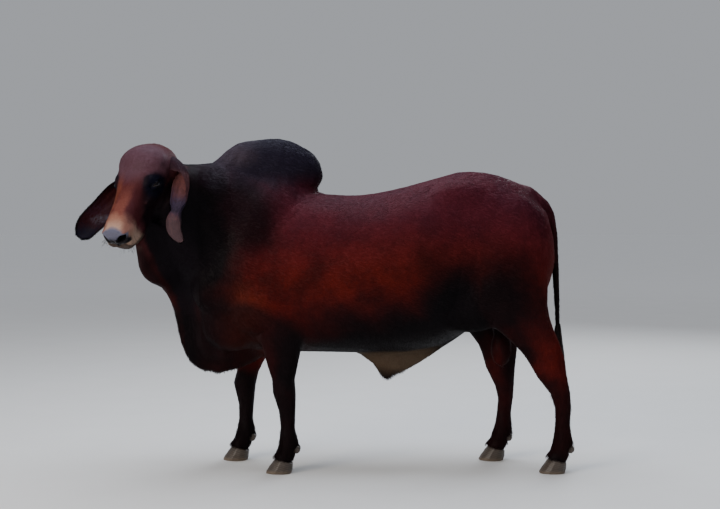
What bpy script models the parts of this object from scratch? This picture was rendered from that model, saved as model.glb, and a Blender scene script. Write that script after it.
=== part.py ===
"""A red Brahman bull standing with its head turned to its left, life size, in its named parts.

The bull faces -X with its left side towards -Y, and stands on z = 0. Sizes are in metres.
Each region is modelled whole from muscle forms, drawn together into one closed surface, and then
parted with flat cuts, so that the parts meet face to face.
"""

import math

import bmesh
import bpy
import numpy as np
from mathutils import Matrix, Vector

# Driving dimensions of the animal
HIP_TOP = 1.505
BACK_TOP = 1.385
HUMP_TOP = 1.672
CHEST_FLOOR = 0.588
BELLY_HALF_WIDTH = 0.36
CROUP_X = 0.52
EYE_RADIUS = 0.0215
LID_THICKNESS = 0.0045
CLAW_WIDTH = 0.056
CLEFT = 0.007
CORONET = 0.070

# The tail's switch: where it starts, how low it hangs, where it hangs, and its number of locks
SWITCH_TOP = 0.700
SWITCH_TIP = 0.330
SWITCH_X = 1.007
SWITCH_LOCKS = 22

# Gap that parted surfaces keep, and the reach of the cutters
GAP = 0.0003
FAR = 3.0

# Voxel sizes of the two regions, and the triangles that each keeps
BODY_VOXEL = 0.011
HEAD_VOXEL = 0.0048
BODY_TRIANGLES = 5400
HEAD_TRIANGLES = 2500

LEFT, RIGHT = -1, 1
SIDES = {"left": LEFT, "right": RIGHT}

# The head's own frame: u runs down the face from the poll, v stands out of the forehead, w to its left
HEAD_TURN = math.radians(64)
HEAD_TILT = math.radians(46)
HEAD_ORIGIN = Vector((-1.000, -0.171, 1.556))
HEAD_AHEAD = Vector((-math.cos(HEAD_TURN), -math.sin(HEAD_TURN), 0))
HEAD_U = HEAD_AHEAD * math.sin(HEAD_TILT) + Vector((0, 0, -math.cos(HEAD_TILT)))
HEAD_V = HEAD_AHEAD * math.cos(HEAD_TILT) + Vector((0, 0, math.sin(HEAD_TILT)))
HEAD_W = Vector((math.sin(HEAD_TURN), -math.cos(HEAD_TURN), 0))

# The nape's turn, which the cut behind the head follows
NAPE_TURN = math.radians(47)

# Where an eyeball sits: down the face, out of the face, to the side
EYE_SEAT = (0.218, 0.046, 0.102)

# How far along the body each leg's cut reaches
LEG_REACH = {
    "fore_leg_left": (-0.62, -0.235),
    "fore_leg_right": (-0.76, -0.300),
    "hind_leg_left": (0.500, 1.40),
    "hind_leg_right": (0.410, 1.40),
}
# The outlines that part the body: distance out and height for the legs, x and height for the others
FORE_CUT = ((0.088, -0.2), (0.088, 0.600), (0.400, 0.850), (0.700, 0.850), (0.700, -0.2))
HIND_CUT = ((0.090, -0.2), (0.090, 0.770), (0.420, 1.000), (0.700, 1.000), (0.700, -0.2))
HUMP_CUT = ((-0.705, 1.95), (-0.705, 1.505), (-0.080, 1.402), (-0.080, 1.95))
DEWLAP_CUT = (
    (-1.6, 1.290),
    (-0.985, 1.290),
    (-0.835, 0.930),
    (-0.760, 0.780),
    (-0.400, 0.585),
    (-0.400, 0.2),
    (-1.6, 0.2),
)
NECK_CUT = ((-1.6, 1.9), (-0.640, 1.9), (-0.760, 0.700), (-1.6, 0.700))
SHEATH_CUT = ((-0.080, 0.570), (0.250, 0.606), (0.570, 0.740), (0.600, 0.30), (-0.080, 0.30))
SCROTUM_CUT = ((0.610, 0.705), (0.830, 0.705), (0.830, 0.40), (0.610, 0.40))

# The ears: the middle of the back, the way the cup faces, half the width laid flat, and the share of a
# full turn that it folds round, from the funnel at the root to the tip
NEAR_EAR = (
    ((-0.955, -0.235, 1.579), (-0.40, -0.10, -0.90), 0.070, 0.88),
    ((-0.912, -0.262, 1.571), (-0.45, -0.18, -0.87), 0.078, 0.82),
    ((-0.870, -0.288, 1.541), (-0.62, -0.28, -0.73), 0.083, 0.72),
    ((-0.840, -0.314, 1.498), (-0.72, -0.46, -0.52), 0.083, 0.60),
    ((-0.838, -0.337, 1.448), (-0.70, -0.64, -0.30), 0.077, 0.49),
    ((-0.851, -0.355, 1.398), (-0.62, -0.77, -0.12), 0.069, 0.41),
    ((-0.864, -0.370, 1.350), (-0.56, -0.83, 0.00), 0.060, 0.36),
    ((-0.872, -0.380, 1.306), (-0.80, -0.60, 0.00), 0.052, 0.34),
    ((-0.886, -0.388, 1.262), (-0.48, -0.87, 0.00), 0.050, 0.28),
    ((-0.889, -0.390, 1.224), (-0.45, -0.89, 0.00), 0.045, 0.24),
    ((-0.877, -0.391, 1.191), (-0.42, -0.90, 0.00), 0.030, 0.22),
    ((-0.859, -0.392, 1.164), (-0.40, -0.90, 0.00), 0.008, 0.18),
)
FAR_EAR = (
    ((-1.050, -0.160, 1.512), (-0.34, -0.50, -0.68), 0.066, 0.84),
    ((-1.118, -0.132, 1.486), (-0.32, -0.62, -0.62), 0.074, 0.72),
    ((-1.172, -0.114, 1.440), (-0.30, -0.76, -0.50), 0.075, 0.54),
    ((-1.221, -0.105, 1.386), (-0.28, -0.86, -0.40), 0.071, 0.40),
    ((-1.270, -0.105, 1.332), (-0.25, -0.92, -0.32), 0.069, 0.30),
    ((-1.314, -0.112, 1.280), (-0.22, -0.93, -0.28), 0.068, 0.27),
    ((-1.352, -0.122, 1.234), (-0.20, -0.94, -0.24), 0.063, 0.25),
    ((-1.380, -0.133, 1.201), (-0.18, -0.94, -0.20), 0.049, 0.22),
    ((-1.399, -0.144, 1.177), (-0.18, -0.94, -0.20), 0.012, 0.18),
)
EAR_HALF_THICKNESS = 0.0040
EAR_STEPS = 17
EAR_ACROSS = 9

# Where each leg's elbow or stifle, knee or hock, and foot stand along the body
LEG_PLACES = {
    "fore_leg_left": (-0.415, -0.365, -0.355),
    "fore_leg_right": (-0.500, -0.590, -0.600),
    "hind_leg_left": (0.935, 1.012, 1.010),
    "hind_leg_right": (0.810, 0.765, 0.735),
}
FORE_TRACK = 0.185
HIND_TRACK = 0.180

COLOURS = {
    "coat": (0.115, 0.022, 0.014),
    "dark_coat": (0.018, 0.006, 0.007),
    "horny": (0.020, 0.017, 0.016),
    "eye": (0.012, 0.008, 0.007),
    "switch": (0.008, 0.006, 0.007),
}


def clear_scene():
    """Starts from nothing."""
    for found in list(bpy.data.objects):
        bpy.data.objects.remove(found)


def coat_material(name, roughness=0.55):
    """A plain Principled finish, made once for each colour."""
    made = bpy.data.materials.get(name)
    if made is None:
        made = bpy.data.materials.new(name)
        made.use_nodes = True
        shader = made.node_tree.nodes["Principled BSDF"]
        shader.inputs["Base Color"].default_value = (*COLOURS[name], 1)
        shader.inputs["Roughness"].default_value = roughness
        shader.inputs["Metallic"].default_value = 0
    return made


def new_object(name, mesh):
    """An object of that mesh, linked to the scene."""
    made = bpy.data.objects.new(name, mesh)
    bpy.context.scene.collection.objects.link(made)
    return made


def drop(obj):
    """Removes a helper object."""
    bpy.data.objects.remove(obj)


def settle(obj):
    """Puts an object's modifiers into its mesh."""
    bpy.context.view_layer.update()
    graph = bpy.context.evaluated_depsgraph_get()
    made = bpy.data.meshes.new_from_object(obj.evaluated_get(graph))
    obj.modifiers.clear()
    obj.data = made
    return obj


def eased(stations, steps):
    """Rows at even steps on a smooth curve through the stations, whose first number is the place."""
    rows = np.array(stations, float)
    place = rows[:, 0]
    slope = np.gradient(rows, place, axis=0)
    wanted = np.linspace(place[0], place[-1], steps)
    k = np.clip(np.searchsorted(place, wanted, side="right") - 1, 0, len(place) - 2)
    span = (place[k + 1] - place[k])[:, None]
    s = (wanted - place[k])[:, None] / span
    return (
        (1 + 2 * s) * (1 - s) ** 2 * rows[k]
        + s * (1 - s) ** 2 * span * slope[k]
        + s * s * (3 - 2 * s) * rows[k + 1]
        + s * s * (s - 1) * span * slope[k + 1]
    )


def section(centre, side, up, half_width, rise, fall, squareness=2.2, count=28):
    """A ring of points: an oval of that half width that rises and falls differently from its centre."""
    ring = []
    for step in range(count):
        angle = 2 * math.pi * step / count
        across, along = math.cos(angle), math.sin(angle)
        height = rise if along >= 0 else fall
        ring.append(
            centre
            + side * math.copysign(abs(across) ** (2 / squareness), across) * half_width
            + up * math.copysign(abs(along) ** (2 / squareness), along) * height
        )
    return ring


def loft(name, rings):
    """A closed body through rings of equal count, with a fan of faces over each end."""
    work = bmesh.new()
    loops = [[work.verts.new(point) for point in ring] for ring in rings]
    for before, after in zip(loops, loops[1:]):
        for i in range(len(before)):
            j = (i + 1) % len(before)
            work.faces.new((before[i], before[j], after[j], after[i]))
    for loop in (loops[0], loops[-1]):
        middle = work.verts.new(sum((v.co for v in loop), Vector()) / len(loop))
        for i in range(len(loop)):
            work.faces.new((loop[i], loop[(i + 1) % len(loop)], middle))
    bmesh.ops.recalc_face_normals(work, faces=work.faces)
    mesh = bpy.data.meshes.new(name)
    work.to_mesh(mesh)
    work.free()
    return new_object(name, mesh)


def lobe(centre, radii, turn=(0, 0, 0), axes=None, detail=4):
    """An ellipsoid. Its turn is in degrees about X, Y and Z, or it lies along the axes given."""
    work = bmesh.new()
    bmesh.ops.create_icosphere(work, subdivisions=detail, radius=1)
    if axes is None:
        spin = Matrix.Rotation(math.radians(turn[2]), 4, "Z")
        spin = spin @ Matrix.Rotation(math.radians(turn[1]), 4, "Y")
        spin = spin @ Matrix.Rotation(math.radians(turn[0]), 4, "X")
    else:
        spin = Matrix(axes).transposed().to_4x4()
    stretch = Matrix.Diagonal((*radii, 1))
    bmesh.ops.transform(
        work, matrix=Matrix.Translation(centre) @ spin @ stretch, verts=work.verts
    )
    mesh = bpy.data.meshes.new("lobe")
    work.to_mesh(mesh)
    work.free()
    return new_object("lobe", mesh)


def drawn_together(name, forms, voxel):
    """One closed surface round all of the forms, which are used up."""
    work = bmesh.new()
    for form in forms:
        work.from_mesh(form.data)
    mesh = bpy.data.meshes.new(name)
    work.to_mesh(mesh)
    work.free()
    for form in forms:
        drop(form)
    made = new_object(name, mesh)
    remesh = made.modifiers.new("Skin", "REMESH")
    remesh.mode = "VOXEL"
    remesh.voxel_size = voxel
    return settle(made)


def softened(obj, passes, weight=None):
    """Smooths a surface, everywhere or by a weight for each point."""
    smooth = obj.modifiers.new("Soften", "SMOOTH")
    smooth.factor = 0.5
    smooth.iterations = passes
    if weight is not None:
        group = obj.vertex_groups.new(name="soft")
        shares = 10
        levels = np.round(np.clip(weight, 0, 1) * shares).astype(int)
        for level in range(1, shares + 1):
            group.add(np.flatnonzero(levels == level).tolist(), level / shares, "REPLACE")
        smooth.vertex_group = group.name
    return settle(obj)


def points_of(obj):
    """The points of an object's mesh as rows."""
    rows = np.empty(len(obj.data.vertices) * 3, np.float32)
    obj.data.vertices.foreach_get("co", rows)
    return rows.reshape(-1, 3)


def thinned(obj, triangles):
    """Keeps about so many triangles, where the surface bends most."""
    obj.data.calc_loop_triangles()
    cut = obj.modifiers.new("Thin", "DECIMATE")
    cut.ratio = min(1.0, triangles / len(obj.data.loop_triangles))
    cut.use_collapse_triangulate = True
    return settle(obj)


def combined(obj, other, operation):
    """Joins, keeps or takes away the other body, and leaves the other as it is."""
    blend = obj.modifiers.new("Cut", "BOOLEAN")
    blend.operation = operation
    blend.object = other
    blend.solver = "EXACT"
    return settle(obj)


def largest_body(obj):
    """Keeps an object's largest closed surface."""
    work = bmesh.new()
    work.from_mesh(obj.data)
    seen, best = set(), []
    for start in work.verts:
        if start in seen:
            continue
        group, edge = [start], [start]
        seen.add(start)
        while edge:
            here = edge.pop()
            for link in here.link_edges:
                other = link.other_vert(here)
                if other not in seen:
                    seen.add(other)
                    group.append(other)
                    edge.append(other)
        if len(group) > len(best):
            best = group
    kept = set(best)
    bmesh.ops.delete(work, geom=[v for v in work.verts if v not in kept], context="VERTS")
    work.to_mesh(obj.data)
    work.free()
    return obj


def block(corner, far_corner):
    """A box between two corners, used only to cut with."""
    low, high = Vector(corner), Vector(far_corner)
    work = bmesh.new()
    place = Matrix.Translation((low + high) / 2) @ Matrix.Diagonal((*(high - low), 1))
    bmesh.ops.create_cube(work, size=1, matrix=place)
    mesh = bpy.data.meshes.new("block")
    work.to_mesh(mesh)
    work.free()
    made = new_object("block", mesh)
    made.hide_render = True
    made.display_type = "WIRE"
    return made


def half_space(point, outward, grow=0.0):
    """A great box whose near face passes through the point, facing against outward."""
    outward = Vector(outward).normalized()
    made = block((-FAR, -FAR, 0), (FAR, FAR, 2 * FAR))
    made.data.transform(outward.to_track_quat("Z", "Y").to_matrix().to_4x4())
    made.data.transform(Matrix.Translation(Vector(point) - outward * grow))
    return made


def parted(whole, name, region):
    """Cuts a region out of the whole as a part of its own. region(grow) makes the cutter."""
    piece = new_object(name, whole.data.copy())
    cutter = region(0.0)
    combined(piece, cutter, "INTERSECT")
    drop(cutter)
    cutter = region(GAP)
    combined(whole, cutter, "DIFFERENCE")
    drop(cutter)
    return largest_body(piece)


def grown(obj, by):
    """A copy of a body with its surface moved out by a little."""
    copy = new_object("grown", obj.data.copy())
    swell = copy.modifiers.new("Swell", "DISPLACE")
    swell.strength = by
    swell.mid_level = 0
    return settle(copy)


def trunk_form():
    """Chest, ribs, belly, loin and rump: ovals across the body, from the chest to the buttocks."""
    stations = (
        # x, top, floor, half width, height of the widest place
        (-0.84, 1.20, 0.78, 0.12, 1.00),
        (-0.76, 1.29, 0.69, 0.21, 0.98),
        (-0.62, 1.36, 0.62, 0.27, 0.97),
        (-0.45, 1.39, 0.595, 0.30, 0.96),
        (-0.25, BACK_TOP + 0.010, CHEST_FLOOR, 0.325, 0.95),
        (0.00, BACK_TOP, CHEST_FLOOR - 0.004, BELLY_HALF_WIDTH - 0.005, 0.94),
        (0.20, 1.420, CHEST_FLOOR - 0.004, BELLY_HALF_WIDTH, 0.96),
        (0.38, 1.470, 0.615, 0.335, 1.04),
        (CROUP_X, HIP_TOP, 0.680, 0.300, 1.12),
        (0.66, HIP_TOP - 0.010, 0.740, 0.285, 1.16),
        (0.78, 1.455, 0.780, 0.255, 1.14),
        (0.87, 1.395, 0.840, 0.190, 1.11),
        (0.925, 1.310, 0.930, 0.100, 1.10),
    )
    rings = []
    for x, top, floor, half_width, widest in eased(stations, 44):
        centre = Vector((x, 0, widest))
        across, up = Vector((0, 1, 0)), Vector((0, 0, 1))
        rings.append(section(centre, across, up, half_width, top - widest, widest - floor, 2.25, 40))
    return loft("trunk", rings)


def neck_form():
    """The neck: ovals square to a path that rises from the shoulders and bends left to the skull."""
    stations = (
        # step, centre x, y, z, rise, drop, half width
        (0.0, -0.48, 0.000, 1.10, 0.42, 0.30, 0.265),
        (1.0, -0.62, -0.012, 1.18, 0.415, 0.34, 0.240),
        (2.0, -0.745, -0.050, 1.27, 0.348, 0.34, 0.212),
        (3.0, -0.840, -0.105, 1.355, 0.252, 0.31, 0.180),
        (4.0, -0.905, -0.165, 1.425, 0.145, 0.245, 0.140),
        (5.0, -0.950, -0.215, 1.470, 0.080, 0.200, 0.115),
    )
    rows = eased(stations, 22)
    rings = []
    for i, (_, x, y, z, rise, drop_by, half_width) in enumerate(rows):
        before, after = rows[max(i - 1, 0)], rows[min(i + 1, len(rows) - 1)]
        along = Vector(after[1:4] - before[1:4]).normalized()
        side = Vector((0, 0, 1)).cross(along).normalized()
        up = along.cross(side).normalized()
        rings.append(section(Vector((x, y, z)), side, up, half_width, rise, drop_by, 2.1, 32))
    return loft("neck", rings)


def hump_forms():
    """The hump: a deep lobe over the withers that leans back and overhangs the back behind it."""
    return [
        lobe((-0.430, 0, 1.500), (0.230, 0.122, HUMP_TOP - 1.497), (0, 5, 0)),
        lobe((-0.335, 0, 1.505), (0.147, 0.104, 0.130)),
        lobe((-0.272, 0, 1.480), (0.093, 0.086, 0.080)),
        lobe((-0.565, 0, 1.502), (0.200, 0.115, 0.156), (0, -24, 0)),
        lobe((-0.440, 0, 1.390), (0.200, 0.180, 0.110)),
    ]


def sheet_form(name, stations, steps, wave, waves):
    """A hanging fold of skin, from its root inside the body to its free edge.

    Each station holds a step, the root, the edge, the half thickness at the root and at the edge.
    """
    rings = []
    rows = eased(stations, steps)
    for i, row in enumerate(rows):
        root, edge = Vector(row[1:4]), Vector(row[4:7])
        thick, thin = row[7], row[8]
        before, after = rows[max(i - 1, 0)], rows[min(i + 1, len(rows) - 1)]
        along = Vector(after[4:7] - before[4:7]).normalized()
        down = (edge - root).normalized()
        side = down.cross(along).normalized()
        sway = wave * math.sin(2 * math.pi * waves * i / (steps - 1))
        ring = []
        for share in (0.0, 0.35, 0.7, 0.92, 1.0):
            half = (thin + (thick - thin) * (1 - share) ** 1.5) * (0.55 if share == 1.0 else 1.0)
            ring.append(root.lerp(edge, share) + side * (half + sway * share))
        for share in (1.0, 0.92, 0.7, 0.35, 0.0):
            half = (thin + (thick - thin) * (1 - share) ** 1.5) * (0.55 if share == 1.0 else 1.0)
            ring.append(root.lerp(edge, share) - side * (half - sway * share))
        rings.append(ring)
    return loft(name, rings)


def dewlap_form():
    """The dewlap: a fold from the throat down to the brisket and between the forelegs."""
    stations = (
        # step, root x, y, z, edge x, y, z, half thickness at root and edge
        (0, -1.050, -0.320, 1.27, -1.086, -0.350, 1.140, 0.050, 0.022),
        (1, -0.985, -0.250, 1.24, -1.080, -0.300, 1.038, 0.085, 0.021),
        (2, -0.920, -0.190, 1.18, -1.052, -0.235, 0.963, 0.105, 0.021),
        (3, -0.850, -0.120, 1.10, -0.992, -0.150, 0.920, 0.115, 0.021),
        (4, -0.790, -0.060, 1.02, -0.957, -0.080, 0.850, 0.125, 0.021),
        (5, -0.740, -0.020, 0.92, -0.932, -0.035, 0.750, 0.130, 0.023),
        (6, -0.690, 0.000, 0.84, -0.907, -0.010, 0.630, 0.130, 0.027),
        (7, -0.640, 0.000, 0.78, -0.852, 0.000, 0.527, 0.120, 0.033),
        (8, -0.580, 0.000, 0.74, -0.742, 0.000, 0.482, 0.110, 0.036),
        (9, -0.500, 0.000, 0.71, -0.600, 0.000, 0.512, 0.090, 0.034),
        (10, -0.420, 0.000, 0.68, -0.470, 0.000, 0.570, 0.070, 0.030),
    )
    return sheet_form("dewlap", stations, 41, 0.007, 5)


def sheath_form():
    """The pendulous sheath: a fold of skin along the belly with its tube at the front."""
    stations = (
        # step, root x, y, z, edge x, y, z, half thickness at root and edge
        (0, 0.000, 0, 0.66, -0.010, 0, 0.578, 0.055, 0.035),
        (1, 0.080, 0, 0.66, 0.060, 0, 0.530, 0.060, 0.040),
        (2, 0.150, 0, 0.66, 0.120, 0, 0.490, 0.062, 0.042),
        (3, 0.230, 0, 0.66, 0.210, 0, 0.484, 0.062, 0.038),
        (4, 0.320, 0, 0.67, 0.310, 0, 0.535, 0.060, 0.030),
        (5, 0.420, 0, 0.72, 0.410, 0, 0.600, 0.060, 0.026),
        (6, 0.520, 0, 0.78, 0.520, 0, 0.670, 0.060, 0.026),
    )
    return sheet_form("sheath", stations, 25, 0.003, 3)


def leg_form(name, rows, places, side, track):
    """A leg: level ovals from inside the body down to the coronet.

    Each row holds minus the height, the shift back, half length, shift out and half width. The
    places are those of the elbow or stifle, the knee or hock, and the foot.
    """
    joints = (-0.82, -0.40, -0.07)
    rings = []
    for depth, back, half_length, out, half_width in eased(rows, 46):
        shift = np.interp(depth, joints, places)
        centre = Vector((shift + back, side * (track + out), -depth))
        across, along = Vector((0, 1, 0)), Vector((1, 0, 0))
        rings.append(section(centre, across, along, half_width, half_length, half_length, 2.15, 24))
    return loft(name, rings)


def fore_leg_form(name, side):
    """A foreleg: upper arm, elbow, forearm, knee, cannon, fetlock and pastern."""
    rows = (
        (-0.98, -0.090, 0.130, 0.035, 0.070),
        (-0.86, -0.030, 0.150, 0.045, 0.085),
        (-0.75, 0.010, 0.132, 0.030, 0.085),
        (-0.64, 0.005, 0.102, 0.015, 0.076),
        (-0.54, -0.004, 0.078, 0.005, 0.063),
        (-0.465, -0.008, 0.059, 0.000, 0.052),
        (-0.405, -0.012, 0.060, 0.000, 0.057),
        (-0.350, -0.005, 0.050, 0.000, 0.048),
        (-0.290, 0.000, 0.042, 0.000, 0.038),
        (-0.220, 0.000, 0.039, 0.000, 0.036),
        (-0.168, 0.002, 0.046, 0.000, 0.046),
        (-0.138, 0.002, 0.051, 0.000, 0.052),
        (-0.110, -0.012, 0.047, 0.000, 0.051),
        (-0.085, -0.026, 0.053, 0.000, 0.057),
        (-0.055, -0.043, 0.061, 0.000, 0.060),
        (-0.020, -0.056, 0.064, 0.000, 0.060),
    )
    return leg_form(name, rows, LEG_PLACES[name], side, FORE_TRACK)


def hind_leg_form(name, side):
    """A hind leg: thigh, gaskin, hock with its point behind, cannon, fetlock and pastern."""
    rows = (
        (-1.10, -0.200, 0.200, 0.015, 0.100),
        (-0.94, -0.205, 0.205, 0.035, 0.105),
        (-0.82, -0.185, 0.185, 0.040, 0.100),
        (-0.73, -0.140, 0.150, 0.030, 0.086),
        (-0.65, -0.092, 0.120, 0.018, 0.071),
        (-0.590, -0.064, 0.102, 0.010, 0.058),
        (-0.540, -0.052, 0.090, 0.004, 0.054),
        (-0.485, -0.042, 0.078, 0.000, 0.056),
        (-0.435, -0.026, 0.063, 0.000, 0.053),
        (-0.385, -0.010, 0.050, 0.000, 0.044),
        (-0.330, 0.000, 0.043, 0.000, 0.038),
        (-0.240, 0.000, 0.040, 0.000, 0.036),
        (-0.180, 0.002, 0.046, 0.000, 0.045),
        (-0.145, 0.002, 0.052, 0.000, 0.052),
        (-0.112, -0.012, 0.048, 0.000, 0.051),
        (-0.085, -0.026, 0.054, 0.000, 0.057),
        (-0.055, -0.043, 0.062, 0.000, 0.060),
        (-0.020, -0.056, 0.065, 0.000, 0.060),
    )
    return leg_form(name, rows, LEG_PLACES[name], side, HIND_TRACK)


def muscle_forms():
    """The muscles and bones that show through the skin, on both sides."""
    forms = []
    for side in (LEFT, RIGHT):
        forms += [
            lobe((-0.530, side * 0.190, 1.130), (0.165, 0.100, 0.300), (side * 9, 14, 0)),
            lobe((-0.715, side * 0.150, 0.960), (0.120, 0.100, 0.170), (0, 20, 0)),
            lobe((-0.470, side * 0.215, 0.850), (0.185, 0.105, 0.150), (0, -24, 0)),
            lobe((-0.640, side * 0.115, 0.740), (0.150, 0.095, 0.140)),
            lobe((0.490, side * 0.165, 1.360), (0.160, 0.105, 0.105), (side * 25, 0, 0)),
            lobe((0.720, side * 0.175, 1.090), (0.240, 0.130, 0.310), (0, 8, 0)),
            lobe((0.830, side * 0.112, 1.090), (0.150, 0.108, 0.270)),
            lobe((0.610, side * 0.205, 0.880), (0.140, 0.100, 0.180), (0, 22, 0)),
            lobe((0.880, side * 0.080, 1.265), (0.075, 0.060, 0.070)),
            lobe((0.480, side * 0.200, 0.820), (0.170, 0.060, 0.110), (0, 24, 0)),
        ]
    return forms


def body_forms():
    """Every form of the body but the head."""
    forms = [trunk_form(), dewlap_form(), sheath_form(), *hump_forms(), *muscle_forms()]
    forms += [
        lobe((-0.700, 0, 0.680), (0.170, 0.105, 0.160)),
        lobe((0.860, 0, 1.385), (0.080, 0.055, 0.045), (0, 34, 0)),
        lobe((0.715, 0, 0.770), (0.055, 0.050, 0.130)),
        lobe((0.715, -0.034, 0.605), (0.056, 0.045, 0.092)),
        lobe((0.722, 0.034, 0.612), (0.056, 0.045, 0.092)),
        lobe((0.125, 0, 0.505), (0.050, 0.036, 0.036), (0, 25, 0)),
    ]
    for word, side in SIDES.items():
        forms.append(fore_leg_form("fore_leg_" + word, side))
        forms.append(hind_leg_form("hind_leg_" + word, side))
    return forms


def head_place(u, v, w=0.0):
    """A point of the head's own frame, in the bull's frame."""
    return HEAD_ORIGIN + HEAD_U * u + HEAD_V * v + HEAD_W * w


def head_lobe(u, v, w, radii, tilt=0.0):
    """An ellipsoid in the head's frame, its long axis tilted down from the face by some degrees."""
    spin = Matrix.Rotation(math.radians(tilt), 3, HEAD_W)
    axes = (spin @ HEAD_U, spin @ HEAD_V, HEAD_W)
    return lobe(head_place(u, v, w), radii, axes=axes)


def head_loft(name, stations, squareness, steps=30):
    """Ovals across the head: place down the face, top, floor, half width, height of the widest place."""
    rings = []
    for u, top, floor, half_width, widest in eased(stations, steps):
        rise, fall = top - widest, widest - floor
        rings.append(section(head_place(u, widest), HEAD_W, HEAD_V, half_width, rise, fall, squareness))
    return loft(name, rings)


def head_forms():
    """The skull, face, jaw, cheeks, brows, muzzle, lips and chin."""
    skull = head_loft(
        "skull",
        (
            (-0.050, 0.045, -0.090, 0.070, 0.00),
            (-0.015, 0.092, -0.120, 0.112, 0.02),
            (0.040, 0.122, -0.130, 0.130, 0.03),
            (0.110, 0.132, -0.130, 0.131, 0.04),
            (0.180, 0.131, -0.120, 0.120, 0.04),
            (0.250, 0.107, -0.100, 0.097, 0.03),
            (0.330, 0.082, -0.080, 0.080, 0.02),
            (0.410, 0.072, -0.065, 0.073, 0.01),
            (0.475, 0.058, -0.055, 0.073, 0.00),
            (0.520, 0.036, -0.045, 0.064, 0.00),
            (0.545, 0.010, -0.030, 0.042, -0.01),
        ),
        2.5,
    )
    jaw = head_loft(
        "jaw",
        (
            (0.020, -0.020, -0.150, 0.066, -0.07),
            (0.090, -0.020, -0.197, 0.086, -0.08),
            (0.170, -0.020, -0.187, 0.082, -0.08),
            (0.270, -0.020, -0.155, 0.066, -0.07),
            (0.370, -0.020, -0.134, 0.062, -0.06),
            (0.450, -0.020, -0.117, 0.060, -0.06),
            (0.500, -0.030, -0.105, 0.050, -0.06),
            (0.522, -0.045, -0.088, 0.028, -0.065),
        ),
        2.2,
    )
    forms = [
        skull,
        jaw,
        head_lobe(0.468, -0.006, 0, (0.068, 0.062, 0.086)),
        head_lobe(0.514, 0.000, 0, (0.036, 0.046, 0.066), 12),
        head_lobe(0.466, -0.095, 0, (0.048, 0.030, 0.052)),
        head_lobe(0.014, 0.046, 0, (0.055, 0.072, 0.108)),
        head_lobe(0.105, 0.084, 0, (0.110, 0.078, 0.128)),
    ]
    for left in (-1, 1):
        forms += [
            head_lobe(0.140, -0.090, left * 0.072, (0.105, 0.088, 0.038), -10),
            head_lobe(0.203, 0.062, left * 0.085, (0.060, 0.042, 0.032), -6),
            head_lobe(0.225, 0.005, left * 0.086, (0.085, 0.034, 0.026)),
            head_lobe(0.485, -0.050, left * 0.043, (0.052, 0.040, 0.038)),
            head_lobe(0.424, -0.066, left * 0.054, (0.084, 0.040, 0.032)),
            head_lobe(0.068, 0.004, left * 0.110, (0.050, 0.054, 0.042)),
        ]
    return forms


def prism(outline, reach, grow=0.0, axes=None, origin=(0, 0, 0)):
    """A cutter of an outline in the plane of the first two axes, extruded along the third.

    Growing it moves every side out by the gap. The axes are X, Z and Y where none are given.
    """
    first, second, third = axes or (Vector((1, 0, 0)), Vector((0, 0, 1)), Vector((0, 1, 0)))
    flat = [Vector(point) for point in outline]
    area = sum(a.x * b.y - b.x * a.y for a, b in zip(flat, flat[1:] + flat[:1]))
    if area < 0:
        flat.reverse()
    moved = []
    for i, here in enumerate(flat):
        before = (here - flat[i - 1]).normalized()
        after = (flat[(i + 1) % len(flat)] - here).normalized()
        out_before = Vector((before.y, -before.x))
        out_after = Vector((after.y, -after.x))
        both = (out_before + out_after).normalized()
        moved.append(here + both * (grow / max(both.dot(out_after), 0.2)))
    low, high = reach[0] - grow, reach[1] + grow
    work = bmesh.new()
    layers = []
    for level in (low, high):
        places = [Vector(origin) + first * p.x + second * p.y + third * level for p in moved]
        layers.append([work.verts.new(place) for place in places])
    work.faces.new(layers[0])
    work.faces.new(layers[1])
    for i in range(len(moved)):
        j = (i + 1) % len(moved)
        work.faces.new((layers[0][i], layers[0][j], layers[1][j], layers[1][i]))
    bmesh.ops.recalc_face_normals(work, faces=work.faces)
    mesh = bpy.data.meshes.new("prism")
    work.to_mesh(mesh)
    work.free()
    made = new_object("prism", mesh)
    made.hide_render = True
    made.display_type = "WIRE"
    return made


def head_region(grow):
    """All that belongs to the head: before the plane behind the poll and jaw, above the jaw's edge."""
    outline = ((-0.20, 0.36), (-0.075, 0.03), (0.080, -0.220), (0.760, -0.078), (0.760, 0.36))
    ahead = Vector((-math.cos(NAPE_TURN), -math.sin(NAPE_TURN), 0))
    down = ahead * math.sin(HEAD_TILT) - Vector((0, 0, math.cos(HEAD_TILT)))
    out = ahead * math.cos(HEAD_TILT) + Vector((0, 0, math.sin(HEAD_TILT)))
    across = Vector((math.sin(NAPE_TURN), -math.cos(NAPE_TURN), 0))
    return prism(outline, (-0.30, 0.34), grow, (down, out, across), HEAD_ORIGIN)


def across_body(outline, side, near, far):
    """A maker of prisms that run along X over an outline of distance out and height, on one side."""
    placed = [(side * out, height) for out, height in outline]
    axes = (Vector((0, 1, 0)), Vector((0, 0, 1)), Vector((1, 0, 0)))
    return lambda grow: prism(placed, (near, far), grow, axes)


def along_body(outline, low=-0.6, high=0.6):
    """A maker of prisms that run across the body over an outline of x and height."""
    return lambda grow: prism(outline, (low, high), grow)


def carved(body, cutter):
    """Takes a cutter out of a body and drops it."""
    combined(body, cutter, "DIFFERENCE")
    drop(cutter)


def eye_axes(left):
    """The way an eye looks, the slant of its lids and its upward way, on the side given."""
    looks = (HEAD_W * left * 0.90 + HEAD_V * 0.42 + HEAD_U * 0.05).normalized()
    slant = (HEAD_U * 0.91 + HEAD_V * 0.41).normalized()
    slant = (slant - looks * slant.dot(looks)).normalized()
    return looks, slant, looks.cross(slant).normalized()


def eye_centre(left):
    """Where an eyeball sits."""
    down, out, aside = EYE_SEAT
    return head_place(down, out, left * aside)


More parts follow.
